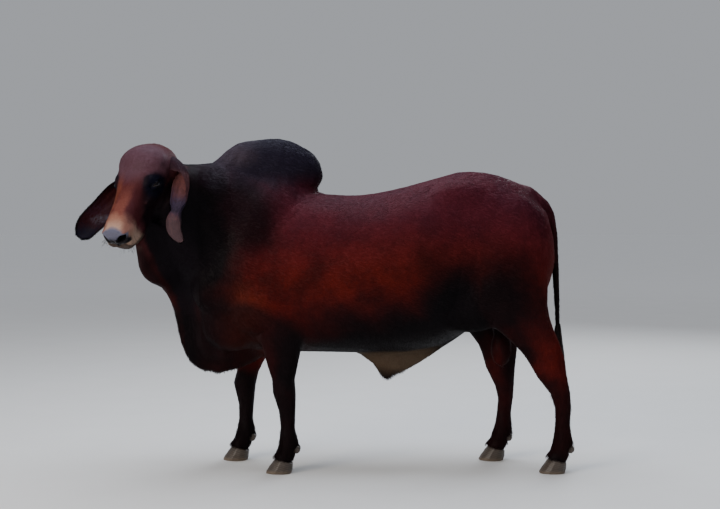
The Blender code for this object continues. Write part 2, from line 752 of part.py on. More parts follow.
def add_eye(head, name, left):
    """Raises the lids, opens them in the shape of an almond and sets the eyeball in its socket."""
    looks, slant, upward = eye_axes(left)
    centre = eye_centre(left)
    rim = EYE_RADIUS + LID_THICKNESS
    lids = lobe(centre, (rim, rim, rim), detail=3)
    combined(head, lids, "UNION")
    drop(lids)
    rings = []
    for depth, wide in ((0.006, 0.8), (0.020, 1.0), (0.040, 1.3)):
        middle = centre + looks * depth
        rings.append(section(middle, slant, upward, 0.0235 * wide, 0.0140 * wide, 0.0110 * wide, 1.75, 16))
    carved(head, loft("opening", rings))
    carved(head, lobe(centre, (EYE_RADIUS + GAP,) * 3, detail=3))
    return lobe(centre, (EYE_RADIUS,) * 3, detail=3)


def nostril_cutter(left):
    """A comma-shaped hole into the side of the nose pad, wide below and narrow behind."""
    inward = (HEAD_U * -0.80 + HEAD_W * -left * 0.50 - HEAD_V * 0.10).normalized()
    across = (HEAD_W * left * 0.72 + HEAD_V * 0.62 - HEAD_U * 0.25).normalized()
    across = (across - inward * across.dot(inward)).normalized()
    upward = across.cross(inward)
    mouth = head_place(0.560, 0.006, left * 0.048)
    rings = []
    narrowing = ((0.0, 0.026, 0.019), (0.025, 0.019, 0.013), (0.050, 0.013, 0.008), (0.062, 0.004, 0.003))
    for depth, wide, tall in narrowing:
        rings.append(section(mouth + inward * depth, across, upward, wide, tall, tall * 0.8, 2.0, 14))
    return loft("nostril", rings)


def mouth_cutter():
    """The line between the lips: a thin band round the front of the muzzle and along both cheeks."""
    places = (
        # down the face, out of the face, to the side
        (0.372, -0.078, 0.110),
        (0.398, -0.085, 0.092),
        (0.440, -0.091, 0.080),
        (0.482, -0.088, 0.064),
        (0.515, -0.078, 0.038),
        (0.530, -0.072, 0.000),
    )
    round_trip = [(u, v, w) for u, v, w in places] + [(u, v, -w) for u, v, w in reversed(places[:-1])]
    rings = []
    for u, v, w in round_trip:
        inner = head_place(0.400 + (u - 0.400) * 0.72, v, w * 0.66)
        outer = head_place(0.400 + (u - 0.400) * 1.35, v, w * 1.45)
        rise = HEAD_V * 0.0022
        rings.append([inner + rise, outer + rise * 1.6, outer - rise * 1.6, inner - rise])
    return loft("mouth", rings)


def ear_form(name, stations):
    """An ear: a cupped leaf of skin, lofted along the middle of its back."""
    rings = []
    flat = [(i, *place, *facing, *sizes) for i, (place, facing, *sizes) in enumerate(stations)]
    rows = eased(flat, EAR_STEPS)
    for i, row in enumerate(rows):
        centre, facing, half, turn = Vector(row[1:4]), Vector(row[4:7]), row[7], row[8]
        before, after = rows[max(i - 1, 0)], rows[min(i + 1, len(rows) - 1)]
        along = Vector(after[1:4] - before[1:4]).normalized()
        facing = (facing - along * facing.dot(along)).normalized()
        side = along.cross(facing)
        angle = math.pi * turn
        radius = half / angle
        axis = centre + facing * radius
        outer, inner = [], []
        for step in range(EAR_ACROSS):
            share = 2 * step / (EAR_ACROSS - 1) - 1
            thick = EAR_HALF_THICKNESS * (1 - 0.55 * abs(share) ** 3) * (1 - 0.4 * i / len(rows))
            spoke = side * math.sin(angle * share) - facing * math.cos(angle * share)
            outer.append(axis + spoke * (radius + thick))
            inner.append(axis + spoke * (radius - thick))
        rings.append(outer + inner[::-1])
    return loft(name, rings)


def add_ears(head):
    """Both drooping ears, cut off where they meet the head."""
    room = grown(head, 3 * GAP)
    for name, stations in (("ear_left", NEAR_EAR), ("ear_right", FAR_EAR)):
        ear = ear_form(name, stations)
        combined(ear, room, "DIFFERENCE")
        largest_body(ear)
    drop(room)


def claw_form(foot, outward):
    """One claw: a sloping toe wall, a flat sole and a flat face towards the cleft."""
    centre_x, centre_y = foot
    levels = (
        # height, toe ahead of the centre, heel behind it, width
        (0.000, 0.080, 0.048, 0.96),
        (0.006, 0.080, 0.052, 1.00),
        (0.025, 0.068, 0.056, 1.00),
        (0.050, 0.050, 0.058, 0.96),
        (0.075, 0.030, 0.058, 0.90),
        (0.100, 0.012, 0.058, 0.86),
    )
    rings = []
    for height, toe, heel, wide in levels:
        ring = []
        middle, half = (heel - toe) / 2, (heel + toe) / 2
        for step in range(14):
            angle = 2 * math.pi * step / 14
            along = math.copysign(abs(math.cos(angle)) ** 0.85, math.cos(angle))
            out = math.sin(angle)
            out = out if out > 0 else out * 0.12
            taper = 1 - 0.28 * max(-along, 0) ** 2
            y = centre_y + outward * (CLEFT / 2 + 0.004 + out * (CLAW_WIDTH - 0.004) * wide * taper)
            ring.append(Vector((centre_x + middle + half * along, y, height)))
        rings.append(ring)
    return loft("claw", rings)


def coronet_half(centre_x, above, grow=0.0):
    """The space above or below the sloping plane in which the hair meets the horn."""
    slope = Vector((0.34, 0, 1)).normalized()
    point = Vector((centre_x, 0, CORONET))
    outward = slope if above else -slope
    return half_space(point, outward, grow)


def add_feet(leg, name, side, track):
    """Cuts a leg off at the coronet and stands it on two claws, with two dewclaws behind."""
    place = LEG_PLACES[name][2] - 0.036
    above = coronet_half(place, True)
    combined(leg, above, "INTERSECT")
    drop(above)
    below = coronet_half(place, False, -GAP)
    made = []
    for word, outward in (("outer", side), ("inner", -side)):
        claw = claw_form((place, side * track), outward)
        claw.name = f"claw_{word}_{name}"
        combined(claw, below, "INTERSECT")
        made.append(claw)
        centre = (LEG_PLACES[name][2] + 0.040, side * track + outward * 0.023, 0.120)
        spur = lobe(centre, (0.019, 0.015, 0.022), (0, 28, 0), detail=2)
        spur.name = f"dewclaw_{word}_{name}"
        carved(leg, lobe(centre, (0.019 + GAP, 0.015 + GAP, 0.022 + GAP), (0, 28, 0), detail=2))
        made.append(spur)
    drop(below)
    return made


def tail_form():
    """The tail's dock, from the tailhead down the groove of the rump."""
    stations = (
        # share, x, z, half width across, half depth
        (0.00, 0.800, 1.350, 0.048, 0.034),
        (0.08, 0.875, 1.372, 0.046, 0.034),
        (0.17, 0.940, 1.325, 0.037, 0.030),
        (0.28, 0.974, 1.225, 0.029, 0.025),
        (0.42, 0.986, 1.100, 0.024, 0.022),
        (0.60, 0.996, 0.950, 0.020, 0.018),
        (0.78, 1.003, 0.800, 0.016, 0.015),
        (0.92, 1.006, 0.690, 0.014, 0.013),
        (1.00, 1.007, 0.630, 0.013, 0.012),
    )
    rings = []
    rows = eased(stations, 20)
    for i, (_, x, z, wide, deep) in enumerate(rows):
        before, after = rows[max(i - 1, 0)], rows[min(i + 1, len(rows) - 1)]
        along = Vector((after[1] - before[1], 0, after[2] - before[2])).normalized()
        out = Vector((0, 1, 0)).cross(along).normalized()
        rings.append(section(Vector((x, 0, z)), Vector((0, 1, 0)), out, wide, deep, deep, 2.0, 12))
    return loft("tail", rings)


def lock_form(start, down, out, length, width, curl):
    """A flat lock of hair that narrows to its tip."""
    side = down.cross(out).normalized()
    rings = []
    for step in range(6):
        share = step / 5
        middle = start + down * length * share + out * (curl * math.sin(share * math.pi) * length)
        half = width * (0.55 + 0.9 * share - 1.35 * share * share)
        half = max(half, 0.0012)
        deep = max(half * 0.42, 0.0010)
        rings.append([middle + side * half, middle + out * deep, middle - side * half, middle - out * deep])
    return loft("lock", rings)


def switch_form():
    """The tail's switch: a core with long flat locks fused to it."""
    rng = np.random.default_rng(7)
    across, back = Vector((0, 1, 0)), Vector((1, 0, 0))
    rings = []
    core_rows = ((0.0, 0.024), (0.04, 0.034), (0.10, 0.040), (0.15, 0.036), (0.19, 0.022), (0.21, 0.008))
    for below, half in core_rows:
        centre = Vector((SWITCH_X, 0, SWITCH_TOP - below))
        rings.append(section(centre, across, back, half, half, half, 2.0, 12))
    core = loft("tail_switch", rings)
    locks = bpy.data.collections.new("locks")
    bpy.context.scene.collection.children.link(locks)
    for i in range(SWITCH_LOCKS):
        around = 2 * math.pi * (i * 0.382 + rng.uniform(-0.04, 0.04))
        out = Vector((math.cos(around), math.sin(around), 0))
        top = SWITCH_TOP - 0.045 - 0.13 * (i / SWITCH_LOCKS) + rng.uniform(-0.01, 0.01)
        start = Vector((SWITCH_X, 0, top)) + out * rng.uniform(0.016, 0.026)
        lean = out * rng.uniform(0.00, 0.07)
        down = (Vector((0, 0, -1)) + lean).normalized()
        length = top - SWITCH_TIP - rng.uniform(0.0, 0.10)
        lock = lock_form(start, down, out, length, rng.uniform(0.013, 0.018), rng.uniform(0.02, 0.06))
        bpy.context.scene.collection.objects.unlink(lock)
        locks.objects.link(lock)
    blend = core.modifiers.new("Locks", "BOOLEAN")
    blend.operation = "UNION"
    blend.operand_type = "COLLECTION"
    blend.collection = locks
    blend.solver = "EXACT"
    settle(core)
    for lock in list(locks.objects):
        drop(lock)
    bpy.data.collections.remove(locks)
    return largest_body(core)


def finish_parts():
    """Gives each part its finish and moves the whole so that the frame's origin is under its middle."""
    parts = [found for found in bpy.context.scene.objects if found.type == "MESH"]
    low = np.min([points_of(found).min(axis=0) for found in parts], axis=0)
    high = np.max([points_of(found).max(axis=0) for found in parts], axis=0)
    middle = Vector(((low[0] + high[0]) / 2, (low[1] + high[1]) / 2, low[2]))
    for found in parts:
        found.data.transform(Matrix.Translation(-middle))
        if "claw" in found.name:
            finish = coat_material("horny", 0.45)
        elif "eye" in found.name:
            finish = coat_material("eye", 0.08)
        elif found.name == "tail_switch":
            finish = coat_material("switch", 0.5)
        elif found.name in ("hump", "neck", "dewlap"):
            finish = coat_material("dark_coat")
        else:
            finish = coat_material("coat")
        found.data.materials.clear()
        found.data.materials.append(finish)
        found.data.polygons.foreach_set("material_index", [0] * len(found.data.polygons))
        found.data.shade_flat()
        found.data.name = found.name


def main():
    """Models the bull and names its parts."""
    clear_scene()
    whole = drawn_together("torso", body_forms() + [neck_form()] + head_forms(), BODY_VOXEL)
    places = points_of(whole)
    softness = np.clip((places[:, 2] - 0.62) / 0.25, 0.10, 1)
    softness *= np.clip((places[:, 0] + 0.92) / 0.22, 0.12, 1)
    softened(whole, 40, softness)
    thinned(whole, BODY_TRIANGLES)
    head = drawn_together("head", head_forms() + [neck_form(), dewlap_form()], HEAD_VOXEL)
    softened(head, 18)
    thinned(head, HEAD_TRIANGLES)
    cutter = head_region(0.0)
    combined(head, cutter, "INTERSECT")
    drop(cutter)
    largest_body(head)
    carved(whole, head_region(GAP))
    for word, side in SIDES.items():
        name = "fore_leg_" + word
        add_feet(parted(whole, name, across_body(FORE_CUT, side, *LEG_REACH[name])), name, side, FORE_TRACK)
        name = "hind_leg_" + word
        add_feet(parted(whole, name, across_body(HIND_CUT, side, *LEG_REACH[name])), name, side, HIND_TRACK)
    parted(whole, "dewlap", along_body(DEWLAP_CUT))
    parted(whole, "hump", along_body(HUMP_CUT))
    parted(whole, "neck", along_body(NECK_CUT))
    parted(whole, "scrotum", along_body(SCROTUM_CUT, -0.088, 0.088))
    parted(whole, "sheath", along_body(SHEATH_CUT, -0.12, 0.12))
    tail = tail_form()
    below = half_space((0, 0, SWITCH_TOP), (0, 0, 1))
    combined(tail, below, "INTERSECT")
    drop(below)
    room = grown(tail, 3 * GAP)
    carved(whole, room)
    largest_body(whole)
    switch = switch_form()
    below = half_space((0, 0, SWITCH_TOP - GAP), (0, 0, -1))
    combined(switch, below, "INTERSECT")
    drop(below)
    for word, left in (("left", 1), ("right", -1)):
        eye = add_eye(head, "eye_" + word, left)
        eye.name = "eye_" + word
    for left in (1, -1):
        carved(head, nostril_cutter(left))
    carved(head, mouth_cutter())
    largest_body(head)
    add_ears(head)
    finish_parts()


main()
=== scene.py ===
import math

import bmesh
import bpy
import numpy as np
from mathutils import Matrix, Vector


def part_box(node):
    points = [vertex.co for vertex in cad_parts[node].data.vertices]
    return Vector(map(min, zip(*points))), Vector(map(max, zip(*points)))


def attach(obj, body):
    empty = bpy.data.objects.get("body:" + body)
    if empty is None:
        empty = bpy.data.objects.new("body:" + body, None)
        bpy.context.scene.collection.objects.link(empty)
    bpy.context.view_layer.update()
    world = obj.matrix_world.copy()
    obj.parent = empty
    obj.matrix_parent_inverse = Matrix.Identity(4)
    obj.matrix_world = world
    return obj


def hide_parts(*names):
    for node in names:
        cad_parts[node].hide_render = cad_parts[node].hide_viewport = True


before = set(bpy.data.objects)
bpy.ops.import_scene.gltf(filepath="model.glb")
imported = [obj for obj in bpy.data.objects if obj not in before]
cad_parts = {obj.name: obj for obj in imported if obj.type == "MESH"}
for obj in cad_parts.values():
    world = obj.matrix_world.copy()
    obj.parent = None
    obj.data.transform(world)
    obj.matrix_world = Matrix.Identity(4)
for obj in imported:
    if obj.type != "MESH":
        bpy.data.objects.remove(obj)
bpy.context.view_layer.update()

# The head's own frame: how far it is turned to the side and how far the face hangs forward
HEAD_TURN = math.radians(64)
HEAD_TILT = math.radians(46)
AHEAD = np.array((-math.cos(HEAD_TURN), -math.sin(HEAD_TURN), 0.0))
UP = np.array((0.0, 0.0, 1.0))
DOWN_FACE = AHEAD * math.sin(HEAD_TILT) - UP * math.cos(HEAD_TILT)
OFF_FACE = AHEAD * math.cos(HEAD_TILT) + UP * math.sin(HEAD_TILT)
TO_LEFT = np.array((math.sin(HEAD_TURN), -math.cos(HEAD_TURN), 0.0))

# Where an eyeball sits in the head's frame, and the sizes of eye and lids
EYE_SEAT = np.array((0.218, 0.046, 0.102))
EYE_RADIUS = 0.0215
LID = 0.0030
LID_LEAST = 0.0012
LID_HALF_WIDTH = 0.0210
LID_RISE = 0.0090
LID_FALL = 0.0080
LID_ROUNDNESS = 1.75
UPPER_RIM = 0.0021
LOWER_RIM = 0.0014
RIM_STEPS = 96
# The opening of the socket in the solid head: half width, rise and fall
SOCKET = (0.0280, 0.0185, 0.0155)

# The modelling origin under the withers, found from where the eye is in the frame
POLL_DESIGN = np.array((-1.000, -0.171, 1.556))
EYE_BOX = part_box("eye_left")
EYE_LEFT = np.array((EYE_BOX[0] + EYE_BOX[1]) / 2)
POLL = EYE_LEFT - DOWN_FACE * EYE_SEAT[0] - OFF_FACE * EYE_SEAT[1] - TO_LEFT * EYE_SEAT[2]
SHIFT = POLL - POLL_DESIGN

FLESH = (
    "torso",
    "head",
    "neck",
    "hump",
    "dewlap",
    "sheath",
    "scrotum",
    "tail",
    "fore_leg_left",
    "fore_leg_right",
    "hind_leg_left",
    "hind_leg_right",
)
# How far the flesh grows over its cuts, how deep the short coat is, and how fine the skin is made
SEAM = 0.0012
COAT_DEPTH = 0.0030
VOXEL = 0.0046
CLAW_VOXEL = 0.0036
DEWCLAW_VOXEL = 0.0028
SMOOTHING = 44
SKIN_TRIANGLES = 128000

# How many tufts, locks and hairs grow on each part
BODY_PIECES = 4
BODY_TUFTS = 42000
FACE_TUFTS = 46000
FRINGE_TUFTS = 19500
EAR_EDGE_TUFTS = 2200
EAR_CUP_TUFTS = 3000
EAR_BACK_TUFTS = 13000
SWITCH_LOCKS = 520
UPPER_LASHES = 56
LOWER_LASHES = 30
LIP_WHISKERS = 56
CHIN_WHISKERS = 28
rng = np.random.default_rng(41)


def on_body(x, y, z):
    """A place given from the modelling origin, in the frame."""
    return SHIFT + np.array((x, y, z))


def on_head(u, v, w):
    """A place given in the head's frame, in the frame."""
    return POLL + DOWN_FACE * u + OFF_FACE * v + TO_LEFT * w


def in_head(points):
    """Points of the frame, in the head's frame."""
    away = points - POLL
    return np.stack([away @ DOWN_FACE, away @ OFF_FACE, away @ TO_LEFT], axis=1)


def in_half_head(points):
    """Points of the frame, in the head's frame, with its right half folded onto its left."""
    head = in_head(points)
    head[:, 2] = np.abs(head[:, 2])
    return head


def ease(values, low, high):
    """0 before low and 1 after high, smooth in between; low may be the larger."""
    share = np.clip((values - low) / (high - low), 0, 1)
    return share * share * (3 - 2 * share)


def bell(values, middle, spread):
    """1 at the middle, falling off to both sides."""
    return np.exp(-(((values - middle) / spread) ** 2))


def unit(vectors):
    """Vectors of length one."""
    return vectors / np.maximum(np.linalg.norm(vectors, axis=-1, keepdims=True), 1e-12)


def square_to(vectors, ways):
    """Vectors of length one, with what lies along some unit ways taken out."""
    return unit(vectors - ways * np.sum(vectors * ways, axis=1, keepdims=True))


def mesh_of(name, points, faces):
    """A mesh of triangles, or of other faces that all have the same number of corners."""
    corners = faces.shape[1]
    mesh = bpy.data.meshes.new(name)
    mesh.vertices.add(len(points))
    mesh.vertices.foreach_set("co", np.ascontiguousarray(points, np.float32).ravel())
    mesh.loops.add(faces.size)
    mesh.loops.foreach_set("vertex_index", np.ascontiguousarray(faces, np.int32).ravel())
    mesh.polygons.add(len(faces))
    mesh.polygons.foreach_set("loop_start", np.arange(0, faces.size, corners, dtype=np.int32))
    mesh.update(calc_edges=True)
    mesh.shade_smooth()
    return mesh


def new_object(name, mesh):
    """Puts a mesh into the scene as an object."""
    made = bpy.data.objects.new(name, mesh)
    bpy.context.scene.collection.objects.link(made)
    return made


def finished(obj, finish, slot, *nodes):
    """Gives a piece its material, sets it on the model and hides the nodes it stands for; the slot is not
    used.
    """
    obj.data.materials.clear()
    obj.data.materials.append(finish)
    if nodes:
        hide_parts(*nodes)
    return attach(obj, "root")


def reshaped(obj, mesh):
    """Gives an object another mesh and removes the old one."""
    old = obj.data
    obj.data = mesh
    bpy.data.meshes.remove(old)


def after_modifiers(obj):
    """Replaces an object's mesh by what its modifiers make of it."""
    graph = bpy.context.evaluated_depsgraph_get()
    made = bpy.data.meshes.new_from_object(obj.evaluated_get(graph))
    obj.modifiers.clear()
    reshaped(obj, made)


def remeshed(obj, cell):
    """Rebuilds an object's surface from even cells, as one closed skin."""
    remesh = obj.modifiers.new("Even", "REMESH")
    remesh.mode = "VOXEL"
    remesh.voxel_size = cell
    after_modifiers(obj)


def turned(axes):
    """The turn that lays X, Y and Z along three directions."""
    return Matrix([[*row, 0] for row in np.array(axes).T] + [[0, 0, 0, 1]])


class Shell:
    """A surface of triangles held as arrays, to be smoothed and pushed about."""

    def __init__(self, mesh):
        self.points = np.empty(len(mesh.vertices) * 3, np.float32)
        mesh.vertices.foreach_get("co", self.points)
        self.points = self.points.reshape(-1, 3).astype(float)
        mesh.calc_loop_triangles()
        self.faces = np.empty(len(mesh.loop_triangles) * 3, np.int32)
        mesh.loop_triangles.foreach_get("vertices", self.faces)
        self.faces = self.faces.reshape(-1, 3)
        self.edges = np.empty(len(mesh.edges) * 2, np.int32)
        mesh.edges.foreach_get("vertices", self.edges)
        self.edges = self.edges.reshape(-1, 2)

    def summed(self, index, values):
        """Adds up rows of values for each point."""
        size = len(self.points)
        return np.stack([np.bincount(index, values[:, k], size) for k in range(3)], axis=1)

    def normals(self):
        """The outward direction at each point."""
        a, b, c = (self.points[self.faces[:, k]] for k in range(3))
        across = np.cross(b - a, c - a)
        return unit(sum(self.summed(self.faces[:, k], across) for k in range(3)))

    def smooth(self, passes, weight=1.0):
        """Draws each point towards the middle of its neighbours."""
        one, two = self.edges.T
        count = np.bincount(self.edges.ravel(), minlength=len(self.points))[:, None]
        pull = 0.5 * np.broadcast_to(weight, len(self.points))[:, None]
        for _ in range(passes):
            middle = (self.summed(one, self.points[two]) + self.summed(two, self.points[one])) / count
            self.points += pull * (middle - self.points)

    def areas(self):
        """The area of each triangle."""
        a, b, c = (self.points[self.faces[:, k]] for k in range(3))
        return np.linalg.norm(np.cross(b - a, c - a), axis=1) / 2


def eased_rows(rows, steps):
    """Rows of numbers along a smooth curve through the rows given."""
    rows = np.array(rows, float)
    knots = np.linspace(0, len(rows) - 1, steps)
    whole = np.clip(knots.astype(int), 0, len(rows) - 2)
    t = (knots - whole)[:, None]
    before = rows[np.clip(whole - 1, 0, None)]
    here, there = rows[whole], rows[whole + 1]
    after = rows[np.clip(whole + 2, None, len(rows) - 1)]
    out, back = (there - before) / 2, (after - here) / 2
    lift = 2 * t**3 - 3 * t**2
    return here * (lift + 1) + there * -lift + out * (t**3 - 2 * t**2 + t) + back * (t**3 - t**2)


def ball_into(work, centre, radii, axes):
    """Adds an egg-shaped form to a working mesh."""
    place = Matrix.Translation(Vector(centre)) @ turned(axes) @ Matrix.Diagonal((*radii, 1))
    bmesh.ops.create_icosphere(work, subdivisions=4, radius=1, matrix=place)


HEAD_AXES = (DOWN_FACE, OFF_FACE, TO_LEFT)

# Forms that the skin adds on the head: place in the head's frame and radii, mirrored where off the middle
HEAD_EXTRAS = (
    ((0.510, 0.002, 0.042), (0.030, 0.036, 0.030)),
    ((0.504, -0.060, 0.000), (0.030, 0.018, 0.044)),
    ((0.255, 0.020, 0.093), (0.075, 0.013, 0.012)),
    ((0.330, -0.008, 0.074), (0.035, 0.020, 0.012)),
    ((0.060, 0.016, 0.110), (0.044, 0.048, 0.042)),
)


def flesh_mesh():
    """All flesh nodes, grown a little to run into one another, and the head's extra forms."""
    work = bmesh.new()
    for name in FLESH:
        part = bmesh.new()
        part.from_mesh(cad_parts[name].data)
        bmesh.ops.remove_doubles(part, verts=part.verts, dist=1e-5)
        bmesh.ops.recalc_face_normals(part, faces=part.faces)
        part.normal_update()
        for corner in part.verts:
            corner.co += corner.normal * SEAM
        spare = bpy.data.meshes.new(name)
        part.to_mesh(spare)
        part.free()
        work.from_mesh(spare)
        bpy.data.meshes.remove(spare)
    for (u, v, w), radii in HEAD_EXTRAS:
        for side in (-1, 1) if w else (1,):
            ball_into(work, on_head(u, v, w * side), radii, HEAD_AXES)
    mesh = bpy.data.meshes.new("flesh")
    work.to_mesh(mesh)
    work.free()
    return mesh


def levels_into(group, weights, levels=16):
    """Writes weights into a vertex group, rounded to some levels."""
    step = np.round(weights * levels).astype(int)
    for level in range(1, levels + 1):
        chosen = np.flatnonzero(step == level)
        if len(chosen):
            group.add(chosen.tolist(), level / levels, "REPLACE")


def drawn_skin():
    """One closed skin over the flesh, smoothed, and thinned where it has no detail."""
    obj = new_object("skin", flesh_mesh())
    remeshed(obj, VOXEL)
    shell = Shell(obj.data)
    spot = shell.points - SHIFT
    head = in_head(shell.points)
    face = ease(head[:, 0], -0.16, 0.02) * ease(spot[:, 0], -0.72, -0.86)
    low = ease(spot[:, 2], 0.78, 0.55)
    thin = np.maximum(low, ease(spot[:, 0], 0.955, 0.985))
    shell.smooth(SMOOTHING, np.clip(1 - 0.75 * face - 0.78 * thin, 0.15, 1))
    obj.data.vertices.foreach_set("co", shell.points.astype(np.float32).ravel())
    group = obj.vertex_groups.new(name="thin")
    near_head = ease(head[:, 0], -0.05, 0.06) * ease(spot[:, 0], -0.70, -0.85)
    near_head *= 0.35 + 0.65 * ease(head[:, 0], 0.66, 0.60) * ease(head[:, 1], -0.30, -0.22)
    feet = ease(spot[:, 2], 0.30, 0.15)
    levels_into(group, np.clip(1 - near_head - 0.3 * feet, 0, 1))
    thinner = obj.modifiers.new("Thin", "DECIMATE")
    thinner.ratio = SKIN_TRIANGLES / len(shell.faces)
    thinner.vertex_group = "thin"
    after_modifiers(obj)
    return obj


def refined(obj, region):
    """Splits the faces of a region into four."""
    work = bmesh.new()
    work.from_mesh(obj.data)
    work.verts.ensure_lookup_table()
    inside = region(Shell(obj.data).points)
    edges = [edge for edge in work.edges if inside[edge.verts[0].index] and inside[edge.verts[1].index]]
    bmesh.ops.subdivide_edges(work, edges=edges, cuts=1, use_grid_fill=True)
    bmesh.ops.triangulate(work, faces=[face for face in work.faces if len(face.verts) > 3])
    work.to_mesh(obj.data)
    work.free()


def fine_places(points):
    """Where the skin carries small detail: eyes, nostrils and lips."""
    head = in_half_head(points)
    eyes = np.linalg.norm(head - EYE_SEAT, axis=1) < 0.050
    muzzle = (head[:, 0] > 0.425) & (head[:, 0] < 0.62) & (head[:, 1] > -0.14) & (head[:, 2] < 0.12)
    return eyes | muzzle


def lid_places(points):
    """Where the skin meets the eyeballs."""
    return np.linalg.norm(in_half_head(points) - EYE_SEAT, axis=1) < 0.031


def eye_axes(left):
    """The way an eye looks, the slant of its lids and its upward way."""
    looks = unit(TO_LEFT * left * 0.90 + OFF_FACE * 0.42 + DOWN_FACE * 0.05)
    slant = unit(DOWN_FACE * 0.91 + OFF_FACE * 0.41)
    slant = unit(slant - looks * (slant @ looks))
    return looks, slant, unit(np.cross(looks, slant)) * left


def eye_centre(left):
    """Where an eyeball sits, on the side given."""
    return on_head(EYE_SEAT[0], EYE_SEAT[1], EYE_SEAT[2] * left)


def lid_opening(across, up, half_width=LID_HALF_WIDTH, rise=LID_RISE, fall=LID_FALL):
    """How far a spot is from the middle of the lids' opening; 1 is the lids' edge."""
    tall = np.where(up > 0, rise, fall)
    wide = (np.abs(across) / half_width) ** LID_ROUNDNESS
    return (wide + (np.abs(up) / tall) ** LID_ROUNDNESS) ** (1 / LID_ROUNDNESS)


def lids_into(shell):
    """Draws the skin in from each socket's edge as lids that leave an almond of the eyeball free."""
    normals = shell.normals()
    for left in (-1, 1):
        looks, slant, upward = eye_axes(left)
        centre = eye_centre(left)
        away = shell.points - centre
        outer = np.sum(normals * away, axis=1) > 0
        near = np.flatnonzero(outer & (np.linalg.norm(away, axis=1) < 0.062) & (away @ looks > -0.012))
        away = away[near]
        across, up, ahead = away @ slant, away @ upward, away @ looks
        opening = lid_opening(across, up)
        # Vertices near the socket's edge are drawn in to the lids' edge, those further out by less
        to_edge = 1 / np.maximum(opening, 1.0)
        drawn = 1 + ease(lid_opening(across, up, *SOCKET), 2.2, 1.15) * (to_edge - 1)
        across, up, opening = across * drawn, up * drawn, opening * drawn
        reach = np.linalg.norm(away, axis=1)
        lid = EYE_RADIUS + LID + 0.0016 * bell(opening, 1.45, 0.25) - 0.0016 * bell(opening, 1.95, 0.20)
        hold = ease(opening, 2.7, 1.7)
        radius = lid * hold + reach * (1 - hold)
        radius += hold * (1 - hold) * 0.004
        level = np.sqrt(np.maximum(radius**2 - across**2 - up**2, 0.0))
        level = np.where(hold > 0.02, level, ahead)
        level = level * hold + ahead * (1 - hold)
        waves = np.sin(opening * 11.0 + up * 60)
        creases = 0.0011 * waves * ease(opening, 1.9, 2.3) * ease(opening, 4.2, 3.0)
        lids = np.outer(across, slant) + np.outer(up, upward) + np.outer(level, looks)
        lids *= np.maximum(1, (EYE_RADIUS + LID_LEAST) / np.linalg.norm(lids, axis=1))[:, None]
        shell.points[near] = centre + lids + unit(away) * creases[:, None]


def along_line(points, line):
    """The distance from points to a bent line, and how far along the line, from 0 to 1."""
    best = np.full(len(points), 1e9)
    where = np.zeros(len(points))
    for i, (start, end) in enumerate(zip(line[:-1], line[1:])):
        way = end - start
        share = np.clip((points - start) @ way / (way @ way), 0, 1)
        far = np.linalg.norm(points - start - share[:, None] * way, axis=1)
        closer = far < best
        best = np.where(closer, far, best)
        where = np.where(closer, (i + share) / (len(line) - 1), where)
    return best, where


# The line between the lips, in the head's frame
LIPS = (
    (0.372, -0.078, 0.106),
    (0.398, -0.085, 0.094),
    (0.440, -0.091, 0.082),
    (0.482, -0.088, 0.066),
    (0.518, -0.079, 0.038),
    (0.534, -0.073, 0.000),
)
# A nostril's comma: out of the face, to the side, radius of the hole
NOSTRIL = (
    (-0.008, 0.031, 0.0125),
    (-0.004, 0.040, 0.0175),
    (0.001, 0.048, 0.0170),
    (0.006, 0.055, 0.0115),
    (0.010, 0.060, 0.0050),
)


def muzzle_into(shell):
    """Opens the nostrils, parts the lips and raises the pad, the nostrils' wings and the chin's folds."""
    head = in_head(shell.points)
    near = np.flatnonzero(head[:, 0] > 0.34)
    side = np.sign(head[near, 2])[:, None]
    normals = shell.normals()[near]
    spot = in_half_head(shell.points)[near]
    u, v, w = spot.T
    lift = np.zeros(len(near))
    far, share = along_line(spot, np.array(LIPS))
    lift -= 0.0052 * bell(far, 0, 0.0034) * ease(share, 0.0, 0.10)
    lift += 0.0022 * bell(far, 0.0100, 0.0060) * ease(share, 0.0, 0.25)
    margin = np.full(len(near), 1e9)
    for out, aside, radius in eased_rows(NOSTRIL, 21):
        margin = np.minimum(margin, np.hypot(v - out, w - aside) - radius)
    front = ease(u, 0.462, 0.486)
    inward = 0.040 * ease(margin, 0.0008, -0.0080) * front
    lift += 0.0034 * bell(margin, 0.0052, 0.0042) * front
    groove = bell(w, 0, 0.0032) * ease(v, 0.006, -0.012) * ease(v, -0.076, -0.060)
    lift -= 0.0032 * groove * front
    lift += 0.0012 * ease(margin_of_pad(spot), 0.004, -0.004) * front
    folds = np.sin(u * 330 + 2.2 * np.sin(v * 60)) * bell(u, 0.445, 0.030)
    lift += 0.0009 * folds * ease(w, 0.045, 0.075) * ease(v, -0.055, -0.03)
    way = -DOWN_FACE * 0.86 - TO_LEFT * side * 0.42 - OFF_FACE * 0.10
    shell.points[near] += normals * lift[:, None] + way * inward[:, None]


def margin_of_pad(head):
    """How far outside the nose pad a place is, by its shape seen from the front; below 0 is on it."""
    wide = np.abs(head[:, 2])
    top = 0.045 - 6.0 * wide**2
    floor = -0.036 - 0.022 * ease(wide, 0.030, 0.0)
    return np.maximum.reduce([head[:, 1] - top, floor - head[:, 1], wide - 0.072])


